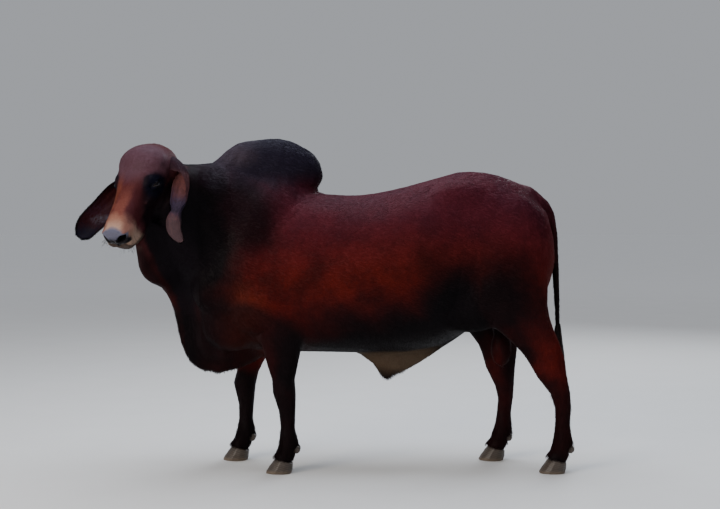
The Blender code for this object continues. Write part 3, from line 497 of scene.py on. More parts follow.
def folds_into(shell):
    """Pulls the skin in by the depth of the coat and lays its folds, rib lines and muscle edges."""
    spot = shell.points - SHIFT
    head = in_head(shell.points)
    x, y, z = spot.T
    side = np.abs(y)
    on_face = ease(head[:, 0], -0.06, 0.03) * ease(x, -0.74, -0.86)
    body = 1 - on_face
    low = ease(z, 0.60, 0.45)
    lift = np.full(len(spot), -(SEAM + COAT_DEPTH)) + 0.0014 * low + 0.0012 * on_face
    neck = ease(x, -0.50, -0.66) * body * ease(z, 0.80, 0.98)
    rings = np.sin((x * 0.86 + z * 0.38) * 62 + 2.0 * np.sin(z * 9.0) + 0.8 * np.sin(y * 17))
    lift += 0.0042 * rings * neck * ease(x, -1.00, -0.84)
    throat = ease(z, 1.10, 0.90) * ease(x, -0.35, -0.55) * ease(side, 0.17, 0.09)
    lift += 0.0060 * np.sin(x * 58 + 3.0 * np.sin(z * 7.5)) * throat * body
    ribs = bell(x, -0.02, 0.27) * bell(z, 1.00, 0.20) * ease(side, 0.16, 0.26)
    lift += 0.0022 * np.sin((x * 0.95 + z * 0.25) * 70) * ribs
    crease = bell((x + 0.295) * 0.9 - (z - 1.44) * 0.50, 0, 0.014)
    lift -= 0.010 * (crease * bell(z, 1.40, 0.07) * ease(side, 0.02, 0.06))
    blade = bell(x + 0.300 + 0.30 * (z - 1.15), 0, 0.022) * bell(z, 1.12, 0.22) * ease(side, 0.12, 0.2)
    lift -= 0.0075 * blade
    flank = bell(x - 0.435 - 0.55 * (z - 0.86), 0, 0.024) * bell(z, 0.86, 0.13) * ease(side, 0.10, 0.18)
    lift -= 0.0090 * flank
    thigh = bell(x - 0.700 - 0.20 * (z - 0.95), 0, 0.030) * bell(z, 1.00, 0.20) * ease(side, 0.12, 0.2)
    lift -= 0.0050 * thigh
    sheath = bell(x, 0.16, 0.20) * ease(z, 0.66, 0.60)
    lift += 0.0030 * np.sin(x * 95 + z * 30) * sheath
    pouch = bell(x, 0.72, 0.12) * ease(z, 0.74, 0.68) * ease(side, 0.15, 0.10)
    lift += 0.0016 * np.sin(z * 210 + 1.5 * np.sin(y * 60)) * pouch
    shell.points += shell.normals() * lift[:, None]


def finish_skin(obj):
    """Refines and shapes the skin, and keeps its arrays for the coat."""
    refined(obj, fine_places)
    refined(obj, lid_places)
    shell = Shell(obj.data)
    head = in_head(shell.points)
    folds_into(shell)
    shell.smooth(3, ease(head[:, 0], -0.1, 0.02) * ease(shell.points[:, 0] - SHIFT[0], -0.72, -0.86))
    muzzle_into(shell)
    lids_into(shell)
    shell.points[:, 2] = np.maximum(shell.points[:, 2], 0.001)
    reshaped(obj, mesh_of("skin", shell.points, shell.faces))
    return shell


class Wire:
    """A number in a material's graph; sums of wires and plain numbers add their Math nodes."""

    def __init__(self, paint, socket):
        self.paint = paint
        self.socket = socket

    def __add__(self, other):
        return self.paint.sum("ADD", self, other)

    def __sub__(self, other):
        return self.paint.sum("SUBTRACT", self, other)

    def __rsub__(self, other):
        return self.paint.sum("SUBTRACT", other, self)

    def __mul__(self, other):
        return self.paint.sum("MULTIPLY", self, other)

    def __truediv__(self, other):
        return self.paint.sum("DIVIDE", self, other)

    def __rtruediv__(self, other):
        return self.paint.sum("DIVIDE", other, self)

    def __pow__(self, other):
        return self.paint.sum("POWER", self, other)

    __radd__ = __add__
    __rmul__ = __mul__


class Paint:
    """One material and the graph that it is written in."""

    def __init__(self, name, **constants):
        self.material = bpy.data.materials.new(name)
        self.material.use_nodes = True
        self.tree = self.material.node_tree
        self.shader = self.tree.nodes["Principled BSDF"]
        for socket, value in constants.items():
            self.shader.inputs[socket.replace("_", " ")].default_value = value

    def feed(self, socket, value):
        """Sets a socket, or links a wire to it."""
        if isinstance(value, Wire):
            self.tree.links.new(value.socket, socket)
        else:
            socket.default_value = value

    def node(self, kind, settings=(), inputs=(), output=0):
        """A node with its settings, then its inputs; gives back one of its outputs."""
        made = self.tree.nodes.new("ShaderNode" + kind)
        for key, value in dict(settings).items():
            setattr(made, key, value)
        for key, value in dict(inputs).items():
            self.feed(made.inputs[key], value)
        return Wire(self, made.outputs[output])

    def sum(self, operation, *values):
        """A Math node."""
        return self.node("Math", {"operation": operation}, enumerate(values))

    def vector(self, operation, *values, output=0):
        """A Vector Math node."""
        return self.node("VectorMath", {"operation": operation}, enumerate(values), output)

    def mixed(self, share, first, second, blend="MIX"):
        """A colour between two colours."""
        settings = {"data_type": "RGBA", "blend_type": blend}
        return self.node("Mix", settings, {0: share, 6: first, 7: second}, 2)

    def place(self):
        """Where a point is on the model."""
        return self.node("TexCoord", output=3)

    def stretched(self, place, scales):
        """A place with each axis scaled."""
        return self.vector("MULTIPLY", place, scales)

    def noise(self, place, scale, detail=2.0, roughness=0.5, output=0):
        """Soft clouds from 0 to 1, as a value or, from output 1, as a vector."""
        inputs = {"Vector": place, "Scale": scale, "Detail": detail, "Roughness": roughness}
        return self.node("TexNoise", {}, inputs, output)

    def cells(self, place, scale, feature="F1"):
        """The distance to the nearest of many scattered points, or to the edge between them."""
        return self.node("TexVoronoi", {"feature": feature}, {"Vector": place, "Scale": scale})

    def rise(self, value, low, high):
        """0 before low and 1 after high, smooth in between."""
        turned = low > high
        low, high = (high, low) if turned else (low, high)
        inputs = {"Value": value, "From Min": low, "From Max": high}
        made = self.node("MapRange", {"interpolation_type": "SMOOTHSTEP"}, inputs)
        return 1 - made if turned else made

    def ball(self, place, centre, radii, soft=0.45):
        """1 inside an egg-shaped space and 0 outside it, with a soft edge."""
        away = self.vector("SUBTRACT", place, tuple(centre))
        reach = self.vector("DIVIDE", away, tuple(radii))
        return self.rise(self.vector("LENGTH", reach, output=1), 1 + soft, 1 - soft)

    def most(self, *values):
        """The largest of some values."""
        found = values[0]
        for value in values[1:]:
            found = self.sum("MAXIMUM", found, value)
        return found

    def dot(self, place, way):
        """How far a place lies along a direction."""
        return self.vector("DOT_PRODUCT", place, tuple(way), output=1)

    def done(self, colour=None, roughness=None, height=None, strength=0.3, depth=0.001):
        """Links what varies to the shader."""
        if colour is not None:
            self.feed(self.shader.inputs["Base Color"], colour)
        if roughness is not None:
            self.feed(self.shader.inputs["Roughness"], roughness)
        if height is not None:
            bump = self.node("Bump", {}, {"Strength": strength, "Distance": depth, "Height": height})
            self.feed(self.shader.inputs["Normal"], bump)
        return self.material


def shade(red, green, blue):
    """A colour given in the usual 0 to 255 steps of a screen."""
    shares = (step / 255 for step in (red, green, blue))
    linear = (share / 12.92 if share < 0.041 else ((share + 0.055) / 1.055) ** 2.4 for share in shares)
    return (*linear, 1.0)


# The colours of the coat, among them painted sheen, reflections, highlights, warm light and shade
MAHOGANY = shade(90, 21, 15)
DEEP_RED = shade(58, 12, 10)
SKY_SHEEN_PLUM = shade(68, 26, 40)
BLACK_BROWN = shade(11, 6, 9)
WARM_LIGHT_ORANGE = shade(98, 32, 15)
FACE_RED = shade(76, 34, 36)
CHEEK_RED = shade(56, 21, 25)
CHEEK_BLACK = shade(14, 8, 14)
TAN = shade(120, 68, 57)
RIM_LIGHT_TAN = shade(132, 72, 50)
BUFF = shade(148, 124, 108)
RING_TAN = shade(124, 86, 76)
PALE_TAN = shade(148, 102, 84)
NOSE_CREAM = shade(176, 144, 126)
BROW_SHADOW_BLACK = shade(8, 9, 24)
SHEEN_MAUVE = shade(87, 62, 73)
SKY_REFLECTION_BLUE_BLACK = shade(31, 29, 43)
HIGHLIGHT_BLUE_GREY = shade(78, 66, 74)
SLATE = shade(26, 26, 34)
PAD_HIGHLIGHT_LAVENDER = shade(98, 98, 116)
GREY_BROWN = shade(98, 82, 66)

# Places of the coat that are near black, on neck and hump by its own colour and low on the body partly as
# painted shade: centre from the modelling origin, radii, how dark
DARK_AND_SHADED_PLACES = (
    ((-0.800, 0.0, 1.180), (0.30, 0.60, 0.46), 1.0),
    ((-0.600, 0.0, 1.270), (0.21, 0.60, 0.27), 0.9),
    ((-0.400, 0.0, 1.640), (0.46, 0.40, 0.24), 0.90),
    ((0.180, 0.0, 0.640), (0.60, 0.60, 0.27), 1.0),
    ((0.460, 0.0, 0.780), (0.30, 0.60, 0.31), 1.0),
    ((0.720, 0.0, 0.860), (0.23, 0.60, 0.28), 0.95),
    ((0.790, 0.0, 0.600), (0.09, 0.60, 0.26), 0.85),
    ((-0.820, 0.0, 0.660), (0.17, 0.40, 0.20), 0.65),
    ((-0.330, 0.0, 0.560), (0.11, 0.60, 0.22), 0.9),
    ((1.010, 0.0, 0.700), (0.09, 0.12, 0.62), 0.95),
)
# Places lit a warmer red: painted warm light on the elbow, the flank fold and the side
WARM_LIGHT_PLACES = (
    ((-0.555, 0.0, 0.745), (0.12, 0.60, 0.18), 0.9),
    ((0.490, 0.0, 0.870), (0.045, 0.50, 0.045), 0.6),
    ((0.300, 0.0, 1.060), (0.42, 0.50, 0.16), 0.15),
)


def body_colour(paint, place):
    """Red, with a painted plum sky sheen on top and painted warm light; near black on neck and hump, and low
    on the body partly as painted shade; a painted sky reflection and highlight on the crest.
    """
    swirl = paint.vector("SUBTRACT", paint.noise(place, 4.0, 3.0, output=1), (0.5, 0.5, 0.5))
    bent = paint.vector("ADD", place, paint.stretched(swirl, (0.22, 0.22, 0.22)))
    cloud = paint.noise(place, 5.0, 4.0, 0.6)
    height = paint.dot(place, UP)
    colour = paint.mixed(paint.rise(cloud, 0.34, 0.66), DEEP_RED, MAHOGANY)
    # Painted sky sheen: plum towards the top of the body
    colour = paint.mixed(paint.rise(height + (cloud - 0.5) * 0.2, 0.92, 1.42) * 0.75, colour, SKY_SHEEN_PLUM)
    # Painted warm light of a low sun, orange red
    for centre, radii, share in WARM_LIGHT_PLACES:
        colour = paint.mixed(paint.ball(bent, on_body(*centre), radii, 0.5) * share, colour, WARM_LIGHT_ORANGE)
    darks_and_shade = [paint.ball(bent, on_body(*centre), radii, 0.42) * share for centre, radii, share in DARK_AND_SHADED_PLACES]
    # Darker towards the bottom, as painted shade low on the body and legs
    legs = paint.rise(height + cloud * 0.12, 0.66, 0.42) * 0.8
    colour = paint.mixed(paint.most(*darks_and_shade, legs), colour, BLACK_BROWN)
    # Painted sky reflection: blue-black on the crest and the top of the hump
    crest = paint.ball(bent, on_body(-0.42, 0.0, 1.62), (0.40, 0.40, 0.20), 0.5)
    colour = paint.mixed(crest * 0.72, colour, SKY_REFLECTION_BLUE_BLACK)
    # Painted highlight on the front of the hump's top, blue-grey
    hump_highlight = paint.ball(bent, on_body(-0.62, 0.0, 1.60), (0.10, 0.40, 0.08), 0.6)
    return paint.mixed(hump_highlight * 0.45, colour, HIGHLIGHT_BLUE_GREY)


def face_colour(paint, place, colour, head, wobble):
    """The face over a colour: red with a painted mauve sheen on the forehead and a tan bridge, painted rim
    light on the far side, black on cheeks, painted shade under the jaw and round the eyes.
    """
    down, off, left, wide, front = head
    nape = paint.rise(off + down * 0.42 + wobble, -0.100, -0.045) * paint.rise(down, -0.10, -0.03)
    face = nape * paint.rise(wide + wobble, 0.170, 0.140) * front
    colour = paint.mixed(face, colour, FACE_RED)
    bridge = paint.rise(wide + wobble, 0.052, 0.015) * paint.rise(off, 0.01, 0.05)
    colour = paint.mixed(face * bridge * paint.rise(down, 0.24, 0.38) * 0.75, colour, TAN)
    # Painted sheen on the forehead, mauve
    painted_sheen = paint.ball(place, on_head(0.140, 0.125, 0.0), (0.17, 0.10, 0.105), 0.45)
    colour = paint.mixed(painted_sheen * face * 0.85, colour, SHEEN_MAUVE)
    cheek = paint.rise(wide + wobble * 0.5, 0.030, 0.056) * paint.rise(down, 0.23, 0.30)
    colour = paint.mixed(face * cheek * 0.80, colour, CHEEK_RED)
    # Painted rim light on the far side of the face, orange tan
    rim_light = paint.rise(left + wobble * 0.4, -0.022, -0.050) * paint.rise(down, 0.18, 0.30)
    colour = paint.mixed(face * rim_light * paint.rise(off, 0.03, 0.07) * 0.45, colour, RIM_LIGHT_TAN)
    # Painted shade under the jaw, near black
    under_jaw_shade = paint.rise(off + down * 0.16 + wobble, -0.010, -0.075) * paint.rise(down, 0.43, 0.36)
    colour = paint.mixed(under_jaw_shade * front * 0.95, colour, BLACK_BROWN)
    narrower = paint.rise(down, 0.13, 0.25) * 0.055 + paint.rise(off, 0.0, -0.05) * 0.03
    sides = paint.rise(wide + wobble * 0.6 + narrower, 0.116, 0.134) * paint.rise(down, 0.08, 0.15)
    sides = sides * paint.rise(down + off * 0.9 + wobble, 0.400, 0.310)
    colour = paint.mixed(sides * front * 0.92, colour, CHEEK_BLACK)
    # Painted shadow of the brows: near black round each eye
    for side in (-1, 1):
        eye = paint.ball(place, on_head(0.216, 0.040, 0.102 * side), (0.072, 0.058, 0.062), 0.35)
        colour = paint.mixed(eye * 0.97, colour, BROW_SHADOW_BLACK)
    return colour


def muzzle_colour(paint, colour, head, wobble):
    """The muzzle over a colour: a pale ring, creamy above the nose, and the lips darkened as painted shadow.
    """
    down, off, _, wide, front = head
    ring = paint.rise(down + wobble * 1.2, 0.415, 0.470) * front * paint.rise(off, -0.200, -0.160)
    colour = paint.mixed(ring * 0.92, colour, paint.mixed(paint.rise(off, 0.03, -0.04), RING_TAN, BUFF))
    pale = paint.rise(down + wobble, 0.415, 0.475) * front
    pale = pale * paint.rise(wide, 0.062, 0.028) * paint.rise(off, 0.0, 0.03)
    cream = paint.mixed(paint.rise(down, 0.450, 0.505), PALE_TAN, NOSE_CREAM)
    colour = paint.mixed(pale * 0.9, colour, cream)
    chin = paint.rise(wide, 0.045, 0.075) * 0.045
    # Painted shadow below the upper lip, dark on the lower lip and chin
    lip_shadow = paint.rise(off + down * 0.10 + wobble * 0.25 + chin, 0.030, 0.012) * paint.rise(down, 0.40, 0.45)
    return paint.mixed(lip_shadow * 0.8, colour, BLACK_BROWN)


def coat_colour(paint):
    """The coat's colours over the whole animal, and the place on the head that they go by."""
    place = paint.place()
    down, off, left = (paint.dot(place, way) - float(POLL @ way) for way in HEAD_AXES)
    wide = paint.sum("ABSOLUTE", left)
    front = paint.rise(paint.dot(place, (1, 0, 0)), float(SHIFT[0]) - 0.76, float(SHIFT[0]) - 0.86)
    head = (down, off, left, wide, front)
    wobble = (paint.noise(place, 22.0, 3.0) - 0.5) * 0.05
    colour = face_colour(paint, place, body_colour(paint, place), head, wobble)
    colour = muzzle_colour(paint, colour, head, wobble)
    sheath = paint.ball(place, on_body(0.180, 0.0, 0.565), (0.22, 0.12, 0.090), 0.4)
    colour = paint.mixed(sheath * 0.7, colour, GREY_BROWN)
    return colour, place, (down, off, wide)


def pad_share(paint, down, off, wide):
    """1 on the bare nose pad."""
    top = 0.045 - wide * wide * 6.0
    floor = -0.036 - paint.rise(wide, 0.030, 0.0) * 0.022
    inside = paint.rise(off - top, 0.0035, -0.0025) * paint.rise(off - floor, -0.0035, 0.0025)
    return inside * paint.rise(wide, 0.0760, 0.0690) * paint.rise(down, 0.452, 0.470)


def skin_finish():
    """The hide: the coat's colours with fine hair, the bare nose pad and the nostrils."""
    paint = Paint("hide", Specular_IOR_Level=0.06)
    colour, place, (down, off, wide) = coat_colour(paint)
    streaks = paint.noise(paint.stretched(place, (70.0, 330.0, 330.0)), 1.0, 3.0, 0.65)
    colour = paint.mixed(paint.rise(streaks, 0.35, 0.75) * 0.30, colour, DEEP_RED, "OVERLAY")
    pad = pad_share(paint, down, off, wide)
    pebble = paint.rise(paint.cells(place, 290.0, "DISTANCE_TO_EDGE"), 0.0, 0.10)
    # Nose pad: a painted highlight, lavender, on its top and painted shade, dark, on its lower half
    painted_sheen = paint.rise(off + paint.noise(place, 60.0, 2.0) * 0.02, 0.002, 0.034)
    lit_and_shaded_pad = paint.mixed(painted_sheen, shade(22, 20, 22), PAD_HIGHLIGHT_LAVENDER)
    colour = paint.mixed(pad, colour, paint.mixed(pebble * 0.6 + 0.4, SLATE, lit_and_shaded_pad))
    roughness = 0.48 + streaks * 0.12 - pad * 0.28
    height = streaks * 0.6 * (1 - pad) + paint.noise(place, 34.0, 4.0) * 0.5 + pebble * pad * 0.5
    return paint.done(colour, roughness, height, 0.55, 0.0016)


def coat_finish(name, tint, gloss):
    """Short hair: the hide's own colours, a little varied from tuft to tuft."""
    paint = Paint(name, Specular_IOR_Level=gloss)
    colour, place, _ = coat_colour(paint)
    vary = paint.noise(place, 150.0, 1.0)
    colour = paint.mixed(paint.rise(vary, 0.3, 0.7) * 0.35, colour, tint, "OVERLAY")
    return paint.done(colour, 0.42 + vary * 0.16)


def black_hair_finish():
    """The long hair of the switch, the whiskers and the far ear's edge."""
    paint = Paint("black_hair", Specular_IOR_Level=0.2)
    place = paint.place()
    streaks = paint.noise(paint.stretched(place, (300.0, 300.0, 14.0)), 1.0, 2.0)
    colour = paint.mixed(paint.rise(streaks, 0.3, 0.7), shade(12, 9, 10), shade(46, 30, 26))
    return paint.done(colour, 0.40 + streaks * 0.2, streaks, 0.25, 0.0005)


def lash_finish():
    """The eyelashes, near black and dull."""
    paint = Paint("lash", Roughness=0.8, Specular_IOR_Level=0.03)
    return paint.done(paint.mixed(paint.noise(paint.place(), 300.0), shade(5, 4, 5), shade(18, 13, 13)))


def rim_finish():
    """The wet, dark edge of the lids."""
    paint = Paint("lid_edge", Specular_IOR_Level=0.3)
    place = paint.place()
    fine = paint.noise(place, 420.0, 2.0)
    colour = paint.mixed(fine, shade(8, 6, 8), shade(22, 16, 18))
    return paint.done(colour, 0.45 + fine * 0.2, fine, 0.3, 0.0004)


def eye_finish():
    """A dark brown eye with a lying oval pupil, a blue-grey rim, its white painted near black as shade, and a
    clear wet surface.
    """
    paint = Paint("eyeball", Roughness=0.22, Coat_Weight=0.20, Coat_Roughness=0.10, Specular_IOR_Level=0.12)
    place = paint.place()
    across = paint.dot(place, (1, 0, 0)) / EYE_RADIUS
    up = paint.dot(place, (0, 1, 0)) / EYE_RADIUS
    ahead = paint.dot(place, (0, 0, 1))
    radial = (across * across + up * up) ** 0.5
    pupil = ((across / 0.46) ** 2 + (up / 0.24) ** 2) ** 0.5
    spokes = paint.vector("NORMALIZE", paint.stretched(place, (1, 1, 0.2)))
    fibres = paint.noise(spokes, 26.0, 3.0, 0.7)
    colour = paint.mixed(fibres, shade(16, 9, 7), shade(44, 24, 14))
    colour = paint.mixed(paint.rise(pupil, 1.12, 0.92), colour, shade(4, 4, 9))
    colour = paint.mixed(paint.rise(radial, 0.66, 0.78), colour, shade(12, 10, 16))
    # The white of the eye, painted near black as the brows' shade
    veins = paint.noise(paint.stretched(place, (60.0, 220.0, 60.0)), 2.0, 3.0)
    shaded_white = paint.mixed(paint.rise(veins, 0.45, 0.75), shade(20, 15, 18), shade(14, 9, 11))
    colour = paint.mixed(paint.rise(radial, 0.84, 0.93) * paint.rise(ahead, 0.016, 0.006), colour, shaded_white)
    return paint.done(colour)


def horn_finish():
    """Hoof horn: dark grey-brown, ringed with growth, scuffed at the ground."""
    paint = Paint("horn", Specular_IOR_Level=0.45)
    place = paint.place()
    height = paint.dot(place, (0.34, 0.0, 1.0))
    drift = paint.noise(place, 18.0, 3.0)
    rings = paint.sum("SINE", height * 620.0 + drift * 9.0)
    fibre = paint.noise(paint.stretched(place, (420.0, 420.0, 30.0)), 1.0, 3.0)
    colour = paint.mixed(drift, shade(34, 29, 27), shade(74, 63, 54))
    colour = paint.mixed(paint.rise(rings, -0.6, 1.0) * 0.35, colour, shade(96, 84, 72))
    dust = paint.rise(paint.dot(place, UP) + drift * 0.02, 0.034, 0.004)
    colour = paint.mixed(dust * 0.6, colour, shade(128, 112, 94))
    return paint.done(colour, 0.36 + dust * 0.3 + fibre * 0.1, rings * 0.5 + fibre * 0.5, 0.5, 0.0008)


# Inside the near and the far ear: warm skin, deep skin, tip, root, how cool its band is, how dark its rim
NEAR_INSIDE = (shade(104, 64, 62), shade(80, 50, 54), shade(84, 66, 70), shade(58, 34, 44), 0.85, 0.35)
FAR_INSIDE = (shade(50, 9, 11), shade(28, 6, 10), shade(18, 16, 30), shade(34, 16, 16), 0.2, 0.9)


def ear_colour(paint, place, far):
    """The hair of an ear: purple-brown at the root, slate further down, paler at the near one's tip."""
    vary = paint.noise(place, 120.0, 2.0)
    height = paint.dot(place, UP) + (paint.noise(place, 14.0, 3.0) - 0.5) * 0.05
    if far:
        red = paint.mixed(vary, shade(26, 4, 7), shade(52, 14, 16))
        return paint.mixed(paint.rise(height, 1.27, 1.20), red, shade(18, 17, 30)), vary
    colour = paint.mixed(vary, shade(30, 16, 24), shade(54, 32, 42))
    warm = paint.mixed(vary, shade(72, 42, 46), shade(98, 64, 66))
    band = paint.mixed(vary, shade(34, 32, 48), shade(50, 46, 64))
    tip = paint.mixed(vary, shade(62, 48, 54), shade(94, 74, 78))
    colour = paint.mixed(paint.rise(height, 1.52, 1.47), colour, warm)
    colour = paint.mixed(paint.rise(height, 1.40, 1.34) * 0.9, colour, band)
    return paint.mixed(paint.rise(height, 1.31, 1.24), colour, tip), vary


def ear_finish(name, far):
    """An ear: dark hair outside and along the edge, thin pinkish skin with pale hair inside."""
    paint = Paint(name, Specular_IOR_Level=0.08)
    place = paint.place()
    words = ("edge", "inner", "down")
    edge, inner, down = (paint.node("Attribute", {"attribute_name": word}, output=2) for word in words)
    warm, deep, tip, base, coolness, rim_dark = FAR_INSIDE if far else NEAR_INSIDE
    hair = paint.noise(paint.stretched(place, (160.0, 160.0, 60.0)), 2.0, 3.0, 0.6)
    cloud = paint.noise(place, 16.0, 3.0)
    back, _ = ear_colour(paint, place, far)
    inside = paint.mixed(paint.rise(hair, 0.3, 0.7) * 0.5, warm, deep)
    drift = down + (cloud - 0.5) * 0.16
    cool = paint.rise(drift, 0.42, 0.54) * paint.rise(drift, 0.76, 0.64)
    inside = paint.mixed(cool * coolness, inside, shade(56, 52, 78))
    inside = paint.mixed(paint.rise(drift, 0.68, 0.78) * 0.8, inside, tip)
    if far:
        sheen = paint.ball(place, on_body(-1.285, -0.13, 1.262), (0.055, 0.10, 0.022), 0.5)
        inside = paint.mixed(sheen * 0.8, inside, shade(72, 70, 82))
    inside = paint.mixed(paint.rise(down, 0.26, 0.10) * 0.85, inside, base)
    colour = paint.mixed(inner, back, inside)
    rim = paint.rise(edge + (hair - 0.5) * 0.14, 0.74, 0.95)
    colour = paint.mixed(rim * rim_dark, colour, BLACK_BROWN)
    return paint.done(colour, 0.5 + hair * 0.15, hair, 0.25, 0.0008)


def ear_coat_finish(name, far):
    """The short hair of an ear, in the ear's own colours."""
    paint = Paint(name, Specular_IOR_Level=0.06)
    colour, vary = ear_colour(paint, paint.place(), far)
    return paint.done(colour, 0.5 + vary * 0.15)


# Each ear: the middle of its back, the way its cup faces, half its flat width, the share of a turn it folds
NEAR_EAR = (
    ((-0.955, -0.235, 1.579), (-0.40, -0.10, -0.90), 0.070, 0.88),
    ((-0.912, -0.262, 1.571), (-0.45, -0.18, -0.87), 0.078, 0.82),
    ((-0.870, -0.288, 1.541), (-0.62, -0.28, -0.73), 0.083, 0.72),
    ((-0.840, -0.314, 1.498), (-0.72, -0.46, -0.52), 0.083, 0.60),
    ((-0.838, -0.337, 1.448), (-0.70, -0.64, -0.30), 0.077, 0.49),
    ((-0.851, -0.355, 1.398), (-0.62, -0.77, -0.12), 0.069, 0.41),
    ((-0.864, -0.370, 1.350), (-0.56, -0.83, 0.00), 0.060, 0.36),
    ((-0.872, -0.380, 1.306), (-0.80, -0.60, 0.00), 0.052, 0.34),
    ((-0.886, -0.388, 1.262), (-0.48, -0.87, 0.00), 0.050, 0.28),
    ((-0.889, -0.390, 1.224), (-0.45, -0.89, 0.00), 0.045, 0.24),
    ((-0.877, -0.391, 1.191), (-0.42, -0.90, 0.00), 0.030, 0.22),
    ((-0.859, -0.392, 1.164), (-0.40, -0.90, 0.00), 0.008, 0.18),
)
FAR_EAR = (
    ((-1.050, -0.160, 1.512), (-0.34, -0.50, -0.68), 0.066, 0.84),
    ((-1.118, -0.132, 1.486), (-0.32, -0.62, -0.62), 0.074, 0.72),
    ((-1.172, -0.114, 1.440), (-0.30, -0.76, -0.50), 0.075, 0.54),
    ((-1.221, -0.105, 1.386), (-0.28, -0.86, -0.40), 0.071, 0.40),
    ((-1.270, -0.105, 1.332), (-0.25, -0.92, -0.32), 0.069, 0.30),
    ((-1.314, -0.112, 1.280), (-0.22, -0.93, -0.28), 0.068, 0.27),
    ((-1.352, -0.122, 1.234), (-0.20, -0.94, -0.24), 0.063, 0.25),
    ((-1.380, -0.133, 1.201), (-0.18, -0.94, -0.20), 0.049, 0.22),
    ((-1.399, -0.144, 1.177), (-0.18, -0.94, -0.20), 0.012, 0.18),
)
EAR_THICK = 0.0032
# The edges that the ear's fringe is drawn from: two thirds of it on the first
EAR_EDGES = (0.0, 1.0, 0.0)


def ear_piece(name, rows, length_steps=60, across_steps=33):
    """A cupped leaf of skin with ridges inside, its edge, inner side and length kept as attributes."""
    table = eased_rows([(*place, *facing, half, turn) for place, facing, half, turn in rows], length_steps)
    centre, facing, half, turn = table[:, :3] + SHIFT, table[:, 3:6], table[:, 6], table[:, 7]
    along = unit(np.gradient(centre, axis=0))
    facing = square_to(facing, along)
    side = np.cross(along, facing)
    share = np.linspace(-1, 1, across_steps)
    angle = math.pi * turn[:, None] * share
    radius = (half / (math.pi * turn))[:, None]
    down = np.linspace(0, 1, length_steps)[:, None]
    thick = EAR_THICK * (1 - 0.62 * np.abs(share) ** 4) * (1 - 0.45 * down)
    ripple = 0.0040 * np.sin(down * 17 + share * 2.0) * np.abs(share) ** 3 * ease(down, 0.15, 0.4)
    ridges = 0.0022 * np.cos(share * 13) * ease(np.abs(share), 0.85, 0.5) * ease(down, 0.75, 0.35)
    sheets = []
    for inner in (0, 1):
        reach = radius + ripple + (ridges - thick if inner else thick)
        spoke = side[:, None] * np.sin(angle)[..., None] - facing[:, None] * np.cos(angle)[..., None]
        axis = centre[:, None] + facing[:, None] * radius[..., None]
        sheets.append(axis + spoke * reach[..., None])
    outer, inner = sheets
    ring = np.concatenate([outer, inner[:, ::-1]], axis=1)
    count = ring.shape[1]
    points = ring.reshape(-1, 3)
    rows_index = np.arange(length_steps - 1)[:, None] * count
    columns = np.arange(count)[None]
    following = (columns + 1) % count
    below = rows_index + count
    corners = (rows_index + columns, below + columns, below + following, rows_index + following)
    quads = np.stack(corners, axis=-1)
    last = (length_steps - 1) * count
    caps = [(i, i + 1, count - 2 - i, count - 1 - i) for i in range(across_steps - 1)]
    caps += [tuple(last + k for k in reversed(cap)) for cap in caps]
    faces = np.vstack([quads.reshape(-1, 4), np.array(caps)])
    mesh = mesh_of(name, points, faces)
    across = np.concatenate([share, share[::-1]])
    values = {
        "edge": np.broadcast_to(np.abs(across), (length_steps, count)),
        "inner": np.broadcast_to(np.repeat((0.0, 1.0), across_steps), (length_steps, count)),
        "down": np.broadcast_to(down, (length_steps, count)),
    }
    for word, value in values.items():
        layer = mesh.attributes.new(word, "FLOAT", "POINT")
        layer.data.foreach_set("value", np.ascontiguousarray(value, np.float32).ravel())
    axis = centre + facing * radius
    return new_object(name, mesh), {"axis": axis, "along": along, "outer": outer, "inner": inner}


def ring_tube(name, path, radii, around=10):
    """A tube along a path that joins up with its start."""
    along = unit(np.roll(path, -1, axis=0) - np.roll(path, 1, axis=0))
    out = square_to(unit(path - path.mean(axis=0)), along)
    third = np.cross(along, out)
    turn = np.linspace(0, 2 * math.pi, around, endpoint=False)
    ring = out[:, None] * np.cos(turn)[None, :, None] + third[:, None] * np.sin(turn)[None, :, None]
    points = (path[:, None] + ring * np.array(radii).reshape(-1, 1, 1)).reshape(-1, 3)
    here = np.arange(len(path))[:, None] * around
    ahead = (here + around) % (len(path) * around)
    column = np.arange(around)[None]
    beside = (column + 1) % around
    quads = np.stack([here + column, here + beside, ahead + beside, ahead + column], axis=-1)
    return new_object(name, mesh_of(name, points, quads.reshape(-1, 4)))


def add_eyeball(word, axes, centre, paint):
    """One eyeball with its clear dome, in place of the plain one."""
    work = bmesh.new()
    bmesh.ops.create_uvsphere(work, u_segments=64, v_segments=40, radius=EYE_RADIUS)
    for corner in work.verts:
        height = corner.co.z / EYE_RADIUS
        corner.co *= 1 + 0.055 * float(ease(np.array(height), 0.72, 1.0))
    mesh = bpy.data.meshes.new("eyeball_" + word)
    work.to_mesh(mesh)
    work.free()
    mesh.shade_smooth()
    ball = new_object("eyeball_" + word, mesh)
    ball.matrix_world = Matrix.Translation(Vector(centre)) @ turned(axes)
    finished(ball, paint, "eye", "eye_" + word)


